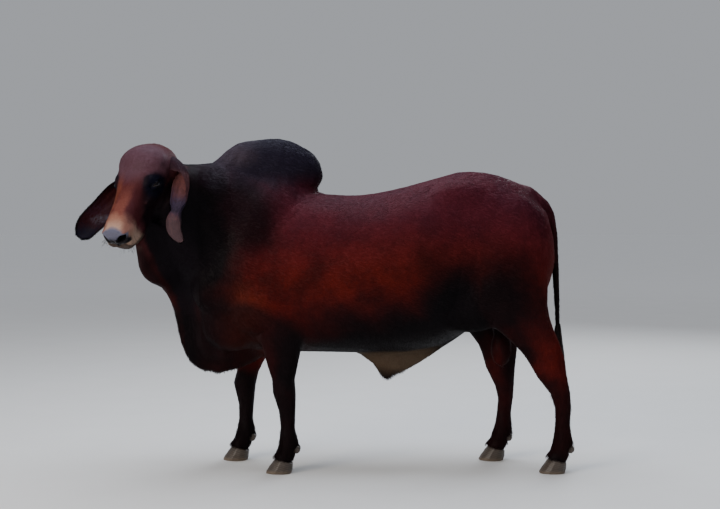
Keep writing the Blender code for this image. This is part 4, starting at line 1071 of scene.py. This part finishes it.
def add_eyes(eye_paint, rim_paint):
    """Both eyeballs, and the lids' wet edges."""
    power = 2 / LID_ROUNDNESS
    reach = EYE_RADIUS + LID * 0.62
    for word, left in (("left", 1), ("right", -1)):
        looks, slant, upward = eye_axes(left)
        centre = eye_centre(left)
        add_eyeball(word, (slant, np.cross(looks, slant), looks), centre, eye_paint)
        path, radii = [], []
        for step in range(RIM_STEPS):
            angle = 2 * math.pi * step / RIM_STEPS
            above = math.sin(angle) > 0
            across = LID_HALF_WIDTH * math.copysign(abs(math.cos(angle)) ** power, math.cos(angle))
            tall = LID_RISE if above else LID_FALL
            up = tall * math.copysign(abs(math.sin(angle)) ** power, math.sin(angle))
            ahead = math.sqrt(reach**2 - min(across**2 + up**2, reach**2 * 0.99))
            path.append(centre + slant * across + upward * up + looks * ahead)
            radii.append(UPPER_RIM if above else LOWER_RIM)
        finished(ring_tube("lid_edge_" + word, np.array(path), radii), rim_paint, "dark_coat")


def add_claws(paint):
    """Claws and dewclaws with growth rings, in place of the plain ones."""
    for name in sorted(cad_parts):
        if "claw" not in name:
            continue
        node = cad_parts[name]
        obj = new_object("horn_" + name, node.data.copy())
        remeshed(obj, CLAW_VOXEL if name.startswith("claw") else DEWCLAW_VOXEL)
        shell = Shell(obj.data)
        low, high = shell.points.min(axis=0), shell.points.max(axis=0)
        shell.smooth(5, 0.8)
        height = shell.points @ np.array((0.34, 0.0, 1.0))
        bump = 0.00045 * np.sin(height * 620) + 0.0004 * np.sin(height * 190 + 1.0)
        shell.points += shell.normals() * bump[:, None]
        shell.points = np.clip(shell.points, low, high)
        if low[2] < 0.002:
            flat = shell.points[:, 2] < 0.0022
            shell.points[flat, 2] = 0.0
        reshaped(obj, mesh_of(obj.name, shell.points, shell.faces))
        finished(obj, paint, "horn", name)


# The unwrap of the coat: charts by part of the body and by the way the skin faces
PART_COUNT = 8
FACINGS = 6
PATCH_HALF = 0.0015


def part_of(points):
    """The part of the body that each point is on, as a number."""
    spot = points - SHIFT
    head = in_head(points)
    part = np.zeros(len(points), int)
    low = spot[:, 2] < 0.62
    fore = spot[:, 0] < 0.2
    left = spot[:, 1] < 0
    limb = low & (np.abs(spot[:, 1]) > 0.09)
    quarters = (fore & left, fore & ~left, ~fore & left, ~fore & ~left)
    for number, quarter in enumerate(quarters, 1):
        part[limb & quarter] = number
    part[(head[:, 0] > -0.06) & (spot[:, 0] < -0.78) & (head[:, 1] + head[:, 0] * 0.42 > -0.13)] = 5
    part[(spot[:, 0] > 0.955) & (np.abs(spot[:, 1]) < 0.06)] = 6
    return part


class Unwrap:
    """Lays the skin out in charts, one for each part of the body and each way it faces."""

    def __init__(self, points, normals, margin=0.012):
        keys, flat = self.flattened(points, normals)
        spans = []
        for key in range(PART_COUNT * FACINGS):
            chosen = flat[keys == key]
            if len(chosen):
                spans.append((key, chosen.min(axis=0), chosen.max(axis=0)))
        spans.sort(key=lambda span: -(span[2] - span[1])[1])
        low_width, high_width = 1.0, 30.0
        for _ in range(24):
            width = (low_width + high_width) / 2
            if self.packed(spans, width, margin) > width:
                low_width = width
            else:
                high_width = width
        self.packed(spans, high_width, margin)
        self.scale = 1 / high_width

    def flattened(self, points, normals):
        """The chart of each point, and its place there in metres."""
        facing = np.argmax(np.abs(normals), axis=1)
        sign = (np.take_along_axis(normals, facing[:, None], axis=1)[:, 0] > 0).astype(int)
        keys = part_of(points) * FACINGS + facing * 2 + sign
        pairs = np.array(((1, 2), (0, 2), (0, 1)))[facing]
        return keys, np.take_along_axis(points, pairs, axis=1)

    def packed(self, spans, width, margin):
        """Sets the charts on shelves of a width and gives back the height that they take."""
        self.corner = np.zeros((PART_COUNT * FACINGS, 2))
        x, y, shelf = margin, margin, 0.0
        for key, low, high in spans:
            size = high - low
            if x + size[0] + margin > width:
                x, y, shelf = margin, y + shelf + margin, 0.0
            self.corner[key] = np.array((x, y)) - low
            x += size[0] + margin
            shelf = max(shelf, size[1])
            if size[0] + 2 * margin > width:
                return 1e9
        return y + shelf + margin

    def spots(self, points, normals):
        """The place of each point on the unwrap, from 0 to 1."""
        keys, flat = self.flattened(points, normals)
        return np.clip((flat + self.corner[keys]) * self.scale, 0.002, 0.998)


def hair_lie(points, normals):
    """The way the hair lies on the skin: back along the body, down the legs, dewlap and face."""
    spot = points - SHIFT
    head = in_head(points)
    way = np.tile((1.0, 0.0, -0.28), (len(points), 1))
    sheer = ease(spot[:, 2], 0.86, 0.62)
    way += np.outer(sheer, (-0.6, 0.0, -1.6))
    way += np.outer(ease(spot[:, 0], 0.70, 0.95), (-0.6, 0.0, -1.2))
    throat = ease(spot[:, 2], 1.15, 0.95) * ease(spot[:, 0], -0.50, -0.65)
    way += np.outer(throat, (-0.4, 0.0, -1.0))
    way[:, 1] += 0.25 * np.sin(spot[:, 0] * 9 + spot[:, 2] * 5)
    before_ears = (head[:, 0] > -0.05) & (spot[:, 0] < -0.80)
    face = (before_ears & (head[:, 1] + head[:, 0] * 0.42 > -0.14)).astype(float)
    downward = ease(head[:, 0], 0.06, 0.15)[:, None]
    over_face = DOWN_FACE * downward - DOWN_FACE * 0.6 * (1 - downward)
    over_face = over_face + TO_LEFT * (np.sign(head[:, 2]) * 0.55)[:, None] - OFF_FACE * 0.15
    way = way * (1 - face[:, None]) + over_face * face[:, None]
    way = unit(way) + rng.normal(0, 0.12, way.shape)
    return square_to(way, normals)


def bare_of_hair(points):
    """1 where no hair grows: the nose pad, the nostrils and the lids' edges."""
    head = in_head(points)
    bare = ease(margin_of_pad(head), 0.004, 0.0) * ease(head[:, 0], 0.455, 0.470)
    for left in (-1, 1):
        looks, slant, upward = eye_axes(left)
        away = points - eye_centre(left)
        near = (np.linalg.norm(away, axis=1) < 0.04) & (away @ looks > 0)
        opening = lid_opening(away @ slant, away @ upward)
        bare = np.maximum(bare, near * ease(opening, 1.30, 1.12))
    return bare


class Roots:
    """Places on the skin that tufts grow from."""

    def __init__(self, shell, count, density):
        weight = shell.areas() * density(shell.points[shell.faces].mean(axis=1))
        chosen = rng.choice(len(weight), count, p=weight / weight.sum())
        share = rng.random((count, 2))
        fold = share.sum(axis=1) > 1
        share[fold] = 1 - share[fold]
        a, b, c = (shell.points[shell.faces[chosen, k]] for k in range(3))
        self.points = a + (b - a) * share[:, :1] + (c - a) * share[:, 1:]
        normals = shell.normals()
        a, b, c = (normals[shell.faces[chosen, k]] for k in range(3))
        self.normals = unit(a + (b - a) * share[:, :1] + (c - a) * share[:, 1:])
        self.way = hair_lie(self.points, self.normals)


def tufts(name, unwrap, points, normals, way, length, width, lift, bend, finish, slot, rings=1):
    """Tapered flat tufts as one closed mesh each, bent over along the coat, on a map for their colours.

    Lift is how steeply a tuft leaves the skin and bend how far it turns towards the bend's direction.
    """
    count = len(points)
    side = unit(np.cross(way, normals))
    start = unit(way * np.cos(lift)[:, None] + normals * np.sin(lift)[:, None])
    length, width = length[:, None], width[:, None]
    sunk = points - start * length * 0.10
    shares = np.linspace(0, 1, rings + 1)
    layers = []
    for share in shares[:-1]:
        middle = sunk + start * length * share + bend * length * share**2
        half = width * (0.5 - 0.30 * share)
        ridge = middle + normals * half * 0.7
        layers.append(np.stack([middle - side * half, middle + side * half, ridge], axis=1))
    tip = (sunk + start * length + bend * length)[:, None]
    corners = np.concatenate([*layers, tip], axis=1)
    per = 3 * rings + 1
    faces = [(0, 1, 2)]
    for ring in range(rings - 1):
        for k in range(3):
            a, b = ring * 3 + k, ring * 3 + (k + 1) % 3
            faces += [(a, a + 3, b + 3), (a, b + 3, b)]
    last = (rings - 1) * 3
    faces += [(last + k, per - 1, last + (k + 1) % 3) for k in range(3)]
    faces = np.array(faces)
    table = (faces[None] + (np.arange(count) * per)[:, None, None]).reshape(-1, 3)
    mesh = mesh_of(name, corners.reshape(-1, 3), table)
    spots = unwrap.spots(points, normals)
    patch = np.array([(k % 3 - 1, k // 3 - 1.0) for k in range(per)])
    patch = patch / np.maximum(np.abs(patch).max(axis=0), 1) * PATCH_HALF
    places = spots[:, None] + patch[None]
    layer = mesh.uv_layers.new(name="OFBake")
    layer.data.foreach_set("uv", places.reshape(-1, 2)[table.ravel()].astype(np.float32).ravel())
    leaning = unit(np.repeat(normals, per, axis=0) + 0.25 * np.repeat(start, per, axis=0))
    mesh.normals_split_custom_set_from_vertices(leaning)
    return finished(new_object(name, mesh), finish, slot)


def short_coat(shell, unwrap, paints):
    """The short flat coat over the whole body, finest on the face and feet."""

    def on_trunk(points):
        head = in_head(points)
        face = (head[:, 0] > -0.04) & (points[:, 0] - SHIFT[0] < -0.80)
        return (1 - bare_of_hair(points)) * np.where(face, 0.0, 1.0) * ease(points[:, 2], 0.02, 0.05)

    def on_face(points):
        head = in_head(points)
        face = (head[:, 0] > -0.06) & (points[:, 0] - SHIFT[0] < -0.78)
        return (1 - bare_of_hair(points)) * face

    for number in range(BODY_PIECES):
        roots = Roots(shell, BODY_TUFTS, on_trunk)
        size = rng.uniform(0.75, 1.25, len(roots.points))
        low = ease(roots.points[:, 2], 0.60, 0.35)
        length = (0.0155 - 0.0045 * low) * size
        width = (0.0042 - 0.0012 * low) * size
        lift = rng.uniform(0.06, 0.20, len(size))
        bend = -roots.normals * 0.05
        tufts(
            f"coat_body_{number + 1}", unwrap, roots.points, roots.normals, roots.way,
            length, width, lift, bend, paints[number % len(paints)], "red_coat",
        )
    roots = Roots(shell, FACE_TUFTS, on_face)
    size = rng.uniform(0.75, 1.25, len(roots.points))
    small = ease(in_head(roots.points)[:, 0], 0.30, 0.45)
    length = (0.0095 - 0.0040 * small) * size
    width = (0.0022 - 0.0008 * small) * size
    lift = rng.uniform(0.08, 0.22, len(size))
    tufts(
        "coat_face", unwrap, roots.points, roots.normals, roots.way,
        length, width, lift, -roots.normals * 0.05, paints[0], "red_coat",
    )


def fringes(shell, unwrap, paint):
    """Longer hair where the coat breaks the form, from the poll and crest to the coronets."""

    def weights(points):
        spot = points - SHIFT
        head = in_head(points)
        x, z, side = spot[:, 0], spot[:, 2], np.abs(spot[:, 1])
        poll = bell(head[:, 0], -0.01, 0.05) * bell(head[:, 2], 0, 0.07)
        poll = poll * (x < -0.80) * ease(head[:, 1], 0.02, 0.08)
        crest = bell(side, 0, 0.035) * ease(z, 1.40, 1.5) * ease(x, 0.2, -0.1)
        dewlap = ease(side, 0.075, 0.035) * ease(x, -0.50, -0.60) * ease(z, 1.05, 0.90) * ease(z, 0.4, 0.5)
        sheath = bell(x, 0.125, 0.06) * ease(z, 0.56, 0.50) * 3
        coronet = bell(z, 0.098, 0.016) * 2.5
        fetlock = bell(z, 0.155, 0.04) * 0.8
        elbow = bell(x, -0.30, 0.08) * bell(z, 0.80, 0.08) * ease(side, 0.1, 0.2) * 0.4
        stern = ease(x, 0.955, 0.975) * ease(z, 1.25, 1.0) * 0.5
        pouch = bell(x, 0.72, 0.08) * ease(z, 0.68, 0.60) * ease(side, 0.13, 0.08) * 0.3
        places = poll + crest * 0.6 + dewlap + sheath + coronet + fetlock + elbow + stern + pouch
        return places * (1 - bare_of_hair(points))

    roots = Roots(shell, FRINGE_TUFTS, weights)
    spot = roots.points - SHIFT
    head = in_head(roots.points)
    size = rng.uniform(0.6, 1.3, len(spot))
    length = np.full(len(spot), 0.020)
    length += 0.022 * bell(spot[:, 0], 0.125, 0.06) * ease(spot[:, 2], 0.56, 0.50)
    length += 0.010 * bell(head[:, 0], -0.01, 0.05) * (spot[:, 0] < -0.80)
    length += 0.012 * bell(spot[:, 2], 0.155, 0.05)
    length -= 0.004 * ease(spot[:, 2], 1.3, 1.5)
    bend = np.tile((0.0, 0.0, -0.22), (len(spot), 1)) - roots.normals * 0.10
    lift = rng.uniform(0.10, 0.42, len(spot))
    tufts(
        "coat_fringes", unwrap, roots.points, roots.normals, roots.way,
        length * size, 0.0026 * size, lift, bend, paint, "dark_coat", rings=2,
    )


def ear_hair(name, ear, unwrap, edge_paint, coat_paint, far):
    """Hair on an ear: a fringe along its edge, soft hair in the cup and a short coat on its back."""
    steps, across = ear["outer"].shape[:2]

    def spots(sheet, row, column):
        """Places on a sheet of the ear at rows and columns that need not be whole numbers."""
        low, col = row.astype(int), column.astype(int)
        down, aside = (row - low)[:, None], (column - col)[:, None]
        after, beside = np.minimum(low + 1, steps - 1), np.minimum(col + 1, across - 1)
        first = ear[sheet][low, col] * (1 - down) + ear[sheet][after, col] * down
        second = ear[sheet][low, beside] * (1 - down) + ear[sheet][after, beside] * down
        return first * (1 - aside) + second * aside, low

    def grown(sheet, count, rows, columns, spread, lengths, lean):
        """Tufts on one part of the ear, between two columns or, for none, on its two edges."""
        row = rng.uniform(*rows, count) * (steps - 1)
        drawn = rng.uniform(*columns, count) if columns else rng.choice(EAR_EDGES, count)
        here, low = spots(sheet, row, drawn * (across - 1))
        out = unit(here - ear["axis"][low])
        normals = out if sheet == "outer" else -out
        ways = ear["along"][low] + lean * out + rng.normal(0, spread, here.shape)
        return here, normals, square_to(ways, normals), rng.uniform(*lengths, count)

    edge_long = (0.009, 0.020) if far else (0.005, 0.010)
    edge = grown("outer", EAR_EDGE_TUFTS, (0.10, 0.985), None, 0.16, edge_long, 0.5)
    cup = grown("inner", EAR_CUP_TUFTS, (0.12, 0.96), (0.04, 0.96), 0.18, (0.008, 0.017), 0.0)
    back = grown("outer", EAR_BACK_TUFTS, (0.0, 0.98), (0.0, 1.0), 0.12, (0.009, 0.014), 0.0)
    kinds = (
        ("edge", edge, 0.0018, edge_paint),
        ("cup", cup, 0.0016, coat_paint),
        ("back", back, 0.0034, coat_paint),
    )
    for word, (points, normals, ways, lengths), width, paint in kinds:
        widths = np.full(len(points), width)
        lift = rng.uniform(0.06, 0.14, len(points))
        tufts(
            f"{name}_{word}", unwrap, points, normals, ways,
            lengths, widths, lift, normals * -0.02, paint, "red_coat", rings=2,
        )


def locks(name, starts, downs, outs, lengths, widths, curls, finish, slot, nodes=(), rings=9, around=4):
    """Long flat tapered locks of hair with a wave in them."""
    count = len(starts)
    share = np.linspace(0, 1, rings)[None, :, None]
    side = unit(np.cross(downs, outs))
    phase = rng.uniform(0, 6.28, (count, 1, 1))
    sway = np.sin(share * 7 + phase) * share * 0.035
    spread = np.sin(share * math.pi * 0.9) * curls[:, None, None]
    length = lengths[:, None, None]
    middle = starts[:, None] + downs[:, None] * length * share
    middle = middle + outs[:, None] * length * spread + side[:, None] * length * sway
    half = widths[:, None, None] * (0.45 + 1.3 * share - 1.72 * share**2)
    half = np.maximum(half, 0.0004)
    turn = 2 * math.pi * np.arange(around)[:, None] / around
    ring = side[:, None, None] * np.cos(turn) + outs[:, None, None] * (0.34 * np.sin(turn))
    points = middle[:, :, None] + ring * half[:, :, None]
    base = np.arange(around)
    after = (base + 1) % around
    faces = [(k, k + around, a + around, a) for k, a in zip(base, after)]
    wall = np.concatenate([np.array(faces) + ring_no * around for ring_no in range(rings - 1)])
    ends = np.array([base[::-1], base + (rings - 1) * around])
    block = np.concatenate([wall, ends])
    table = (block[None] + (np.arange(count) * rings * around)[:, None, None]).reshape(-1, 4)
    obj = new_object(name, mesh_of(name, points.reshape(-1, 3), table))
    return finished(obj, finish, slot, *nodes)


def add_switch(paint):
    """The tail's switch: many long black locks that hang from the end of the tail."""
    low, high = (np.array(corner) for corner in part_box("tail_switch"))
    top, tip = high[2], low[2]
    middle = np.array((SHIFT[0] + 1.007, SHIFT[1], 0.0))
    count = SWITCH_LOCKS
    around = rng.uniform(0, 2 * math.pi, count)
    outs = np.stack([np.cos(around), np.sin(around), np.zeros(count)], axis=1)
    level = rng.uniform(0, 1, count)
    starts = middle + outs * rng.uniform(0.004, 0.016, (count, 1))
    starts[:, 2] = top + 0.030 - 0.17 * level
    downs = unit(np.tile((0.0, 0.0, -1.0), (count, 1)) + outs * rng.uniform(0.0, 0.075, (count, 1)))
    lengths = (starts[:, 2] - tip) * rng.uniform(0.72, 0.995, count)
    widths = rng.uniform(0.0035, 0.0062, count)
    curls = rng.uniform(0.01, 0.055, count)
    locks("switch_hair", starts, downs, outs, lengths, widths, curls, paint, "long_hair", ("tail_switch",))


def single_hairs(name, rows, width, curl, paint):
    """Fine hairs from rows of a start, a way, a side and a length."""
    starts, downs, outs, lengths = (np.array(column) for column in zip(*rows))
    outs = square_to(outs, downs)
    widths, curls = np.full(len(starts), width), np.full(len(starts), curl)
    locks(name, starts, downs, outs, lengths, widths, curls, paint, "long_hair", rings=5)


def add_lashes(paint):
    """Upper and lower eyelashes."""
    rows = []
    reach = EYE_RADIUS + LID
    kinds = ((1, LID_RISE, UPPER_LASHES, 0.018), (-1, LID_FALL, LOWER_LASHES, 0.006))
    for left in (-1, 1):
        looks, slant, upward = eye_axes(left)
        centre = eye_centre(left)
        for rise, tall, count, long in kinds:
            for k in range(count):
                share = -0.86 + 1.72 * (k + rng.uniform(0, 0.6)) / count
                across = LID_HALF_WIDTH * share
                up = rise * tall * (1 - abs(share) ** LID_ROUNDNESS) ** (1 / LID_ROUNDNESS)
                ahead = math.sqrt(max(reach**2 - across**2 - up**2, 1e-6))
                start = centre + slant * across + upward * up * 1.04 + looks * ahead
                way = looks * 1.0 + upward * rise * 0.55 + slant * share * 0.5 - UP * 0.25
                down = unit(way + rng.normal(0, 0.10, 3))
                rows.append((start, down, unit(np.cross(slant, way)), long * rng.uniform(0.7, 1.1)))
    single_hairs("lashes", rows, 0.0006, 0.14, paint)


def add_whiskers(paint):
    """Fine stiff hairs on the upper lip and the chin."""
    rows = []
    for k in range(LIP_WHISKERS + CHIN_WHISKERS):
        side = 1 if k % 2 else -1
        if k < LIP_WHISKERS:
            u, v = rng.uniform(0.47, 0.525), rng.uniform(-0.050, -0.022)
            w = side * rng.uniform(0.035, 0.080)
            way = DOWN_FACE * 0.6 + TO_LEFT * side * 0.7 - OFF_FACE * 0.5
        else:
            u, v, w = rng.uniform(0.455, 0.505), -0.112, side * rng.uniform(0.0, 0.040)
            way = DOWN_FACE * 0.5 - OFF_FACE + TO_LEFT * side * 0.2
        down = unit(way + rng.normal(0, 0.16, 3))
        rows.append((on_head(u, v, w), down, unit(np.cross(way, UP)), rng.uniform(0.022, 0.038)))
    single_hairs("whiskers", rows, 0.00055, 0.10, paint)


def add_camera():
    """The photographer's camera: level with the hip, eight metres away, tipped down to the horizon."""
    distance, metre_per_pixel, eye_height = 8.0, 0.00507, 1.50
    horizon, width, height = 172, 720, 509
    focal = distance / metre_per_pixel
    camera = bpy.data.objects.new("camera", bpy.data.cameras.new("camera"))
    bpy.context.scene.collection.objects.link(camera)
    camera.data.sensor_width = 36.0
    camera.data.lens = 36.0 * focal / width
    camera.location = (SHIFT[0], SHIFT[1] - distance, eye_height)
    camera.rotation_euler = (math.pi / 2 - math.atan((height / 2 - horizon) / focal), 0, 0)
    bpy.context.scene.camera = camera


def add_light(name, place, target, size, power, colour):
    """A soft square light that faces a target."""
    lamp = bpy.data.lights.new(name, "AREA")
    lamp.shape = "SQUARE"
    lamp.size = size
    lamp.energy = power
    lamp.color = colour
    made = bpy.data.objects.new(name, lamp)
    made.location = place
    made.rotation_euler = (Vector(target) - Vector(place)).to_track_quat("-Z", "Y").to_euler()
    bpy.context.scene.collection.objects.link(made)


def add_studio():
    """A plain pale floor, a pale surround and soft lights."""
    half = 30.0
    corners = np.array(((-half, -half, 0.0), (half, -half, 0.0), (half, half, 0.0), (-half, half, 0.0)))
    floor = new_object("floor", mesh_of("floor", corners, np.array([[0, 1, 2, 3]])))
    paint = Paint("floor", Roughness=0.85, Specular_IOR_Level=0.2, Emission_Strength=1.0)
    place = paint.place()
    cloud = paint.noise(place, 3.0, 4.0)
    # Painted glow: the floor glows more with distance, fading into the surround
    far = paint.rise(paint.vector("LENGTH", place, output=1), 3.0, 14.0)
    far_glow = paint.mixed(far, (0, 0, 0, 1), (0.110, 0.120, 0.140, 1))
    paint.feed(paint.shader.inputs["Emission Color"], far_glow)
    floor.data.materials.append(paint.done(paint.mixed(cloud, shade(214, 212, 208), shade(220, 218, 214))))
    world = bpy.data.worlds.new("surround")
    bpy.context.scene.world = world
    world.use_nodes = True
    world.node_tree.nodes["Background"].inputs["Color"].default_value = (0.86, 0.89, 0.95, 1)
    world.node_tree.nodes["Background"].inputs["Strength"].default_value = 0.44
    add_light("sky", (0.2, 0.6, 5.5), (0, 0, 1.2), 4.5, 330, (0.78, 0.86, 1.0))
    add_light("front", (-4.5, -5.5, 3.2), (-0.3, 0, 1.0), 3.0, 330, (1.0, 0.90, 0.80))
    add_light("back", (3.0, 5.5, 4.0), (0.2, 0, 1.2), 3.0, 160, (0.86, 0.92, 1.0))


def main():
    """Dresses the bull."""
    add_camera()
    add_studio()
    skin = drawn_skin()
    shell = finish_skin(skin)
    finished(skin, skin_finish(), "red_coat", *FLESH)
    black = black_hair_finish()
    add_eyes(eye_finish(), rim_finish())
    add_claws(horn_finish())
    ears = {}
    for word, rows, far in (("left", NEAR_EAR, False), ("right", FAR_EAR, True)):
        obj, ears[word] = ear_piece("ear_leaf_" + word, rows)
        finished(obj, ear_finish("ear_skin_" + word, far), "red_coat", "ear_" + word)
    add_switch(black)
    add_lashes(lash_finish())
    add_whiskers(black)
    unwrap = Unwrap(shell.points, shell.normals())
    paints = [
        coat_finish("coat_hair", shade(150, 110, 100), 0.06),
        coat_finish("coat_hair_deep", shade(90, 80, 90), 0.05),
    ]
    short_coat(shell, unwrap, paints)
    fringes(shell, unwrap, paints[0])
    for word, ear in ears.items():
        far = word == "right"
        own = ear_coat_finish("ear_coat_" + word, far)
        ear_hair("ear_hair_" + word, ear, unwrap, black if far else own, own, far)


main()
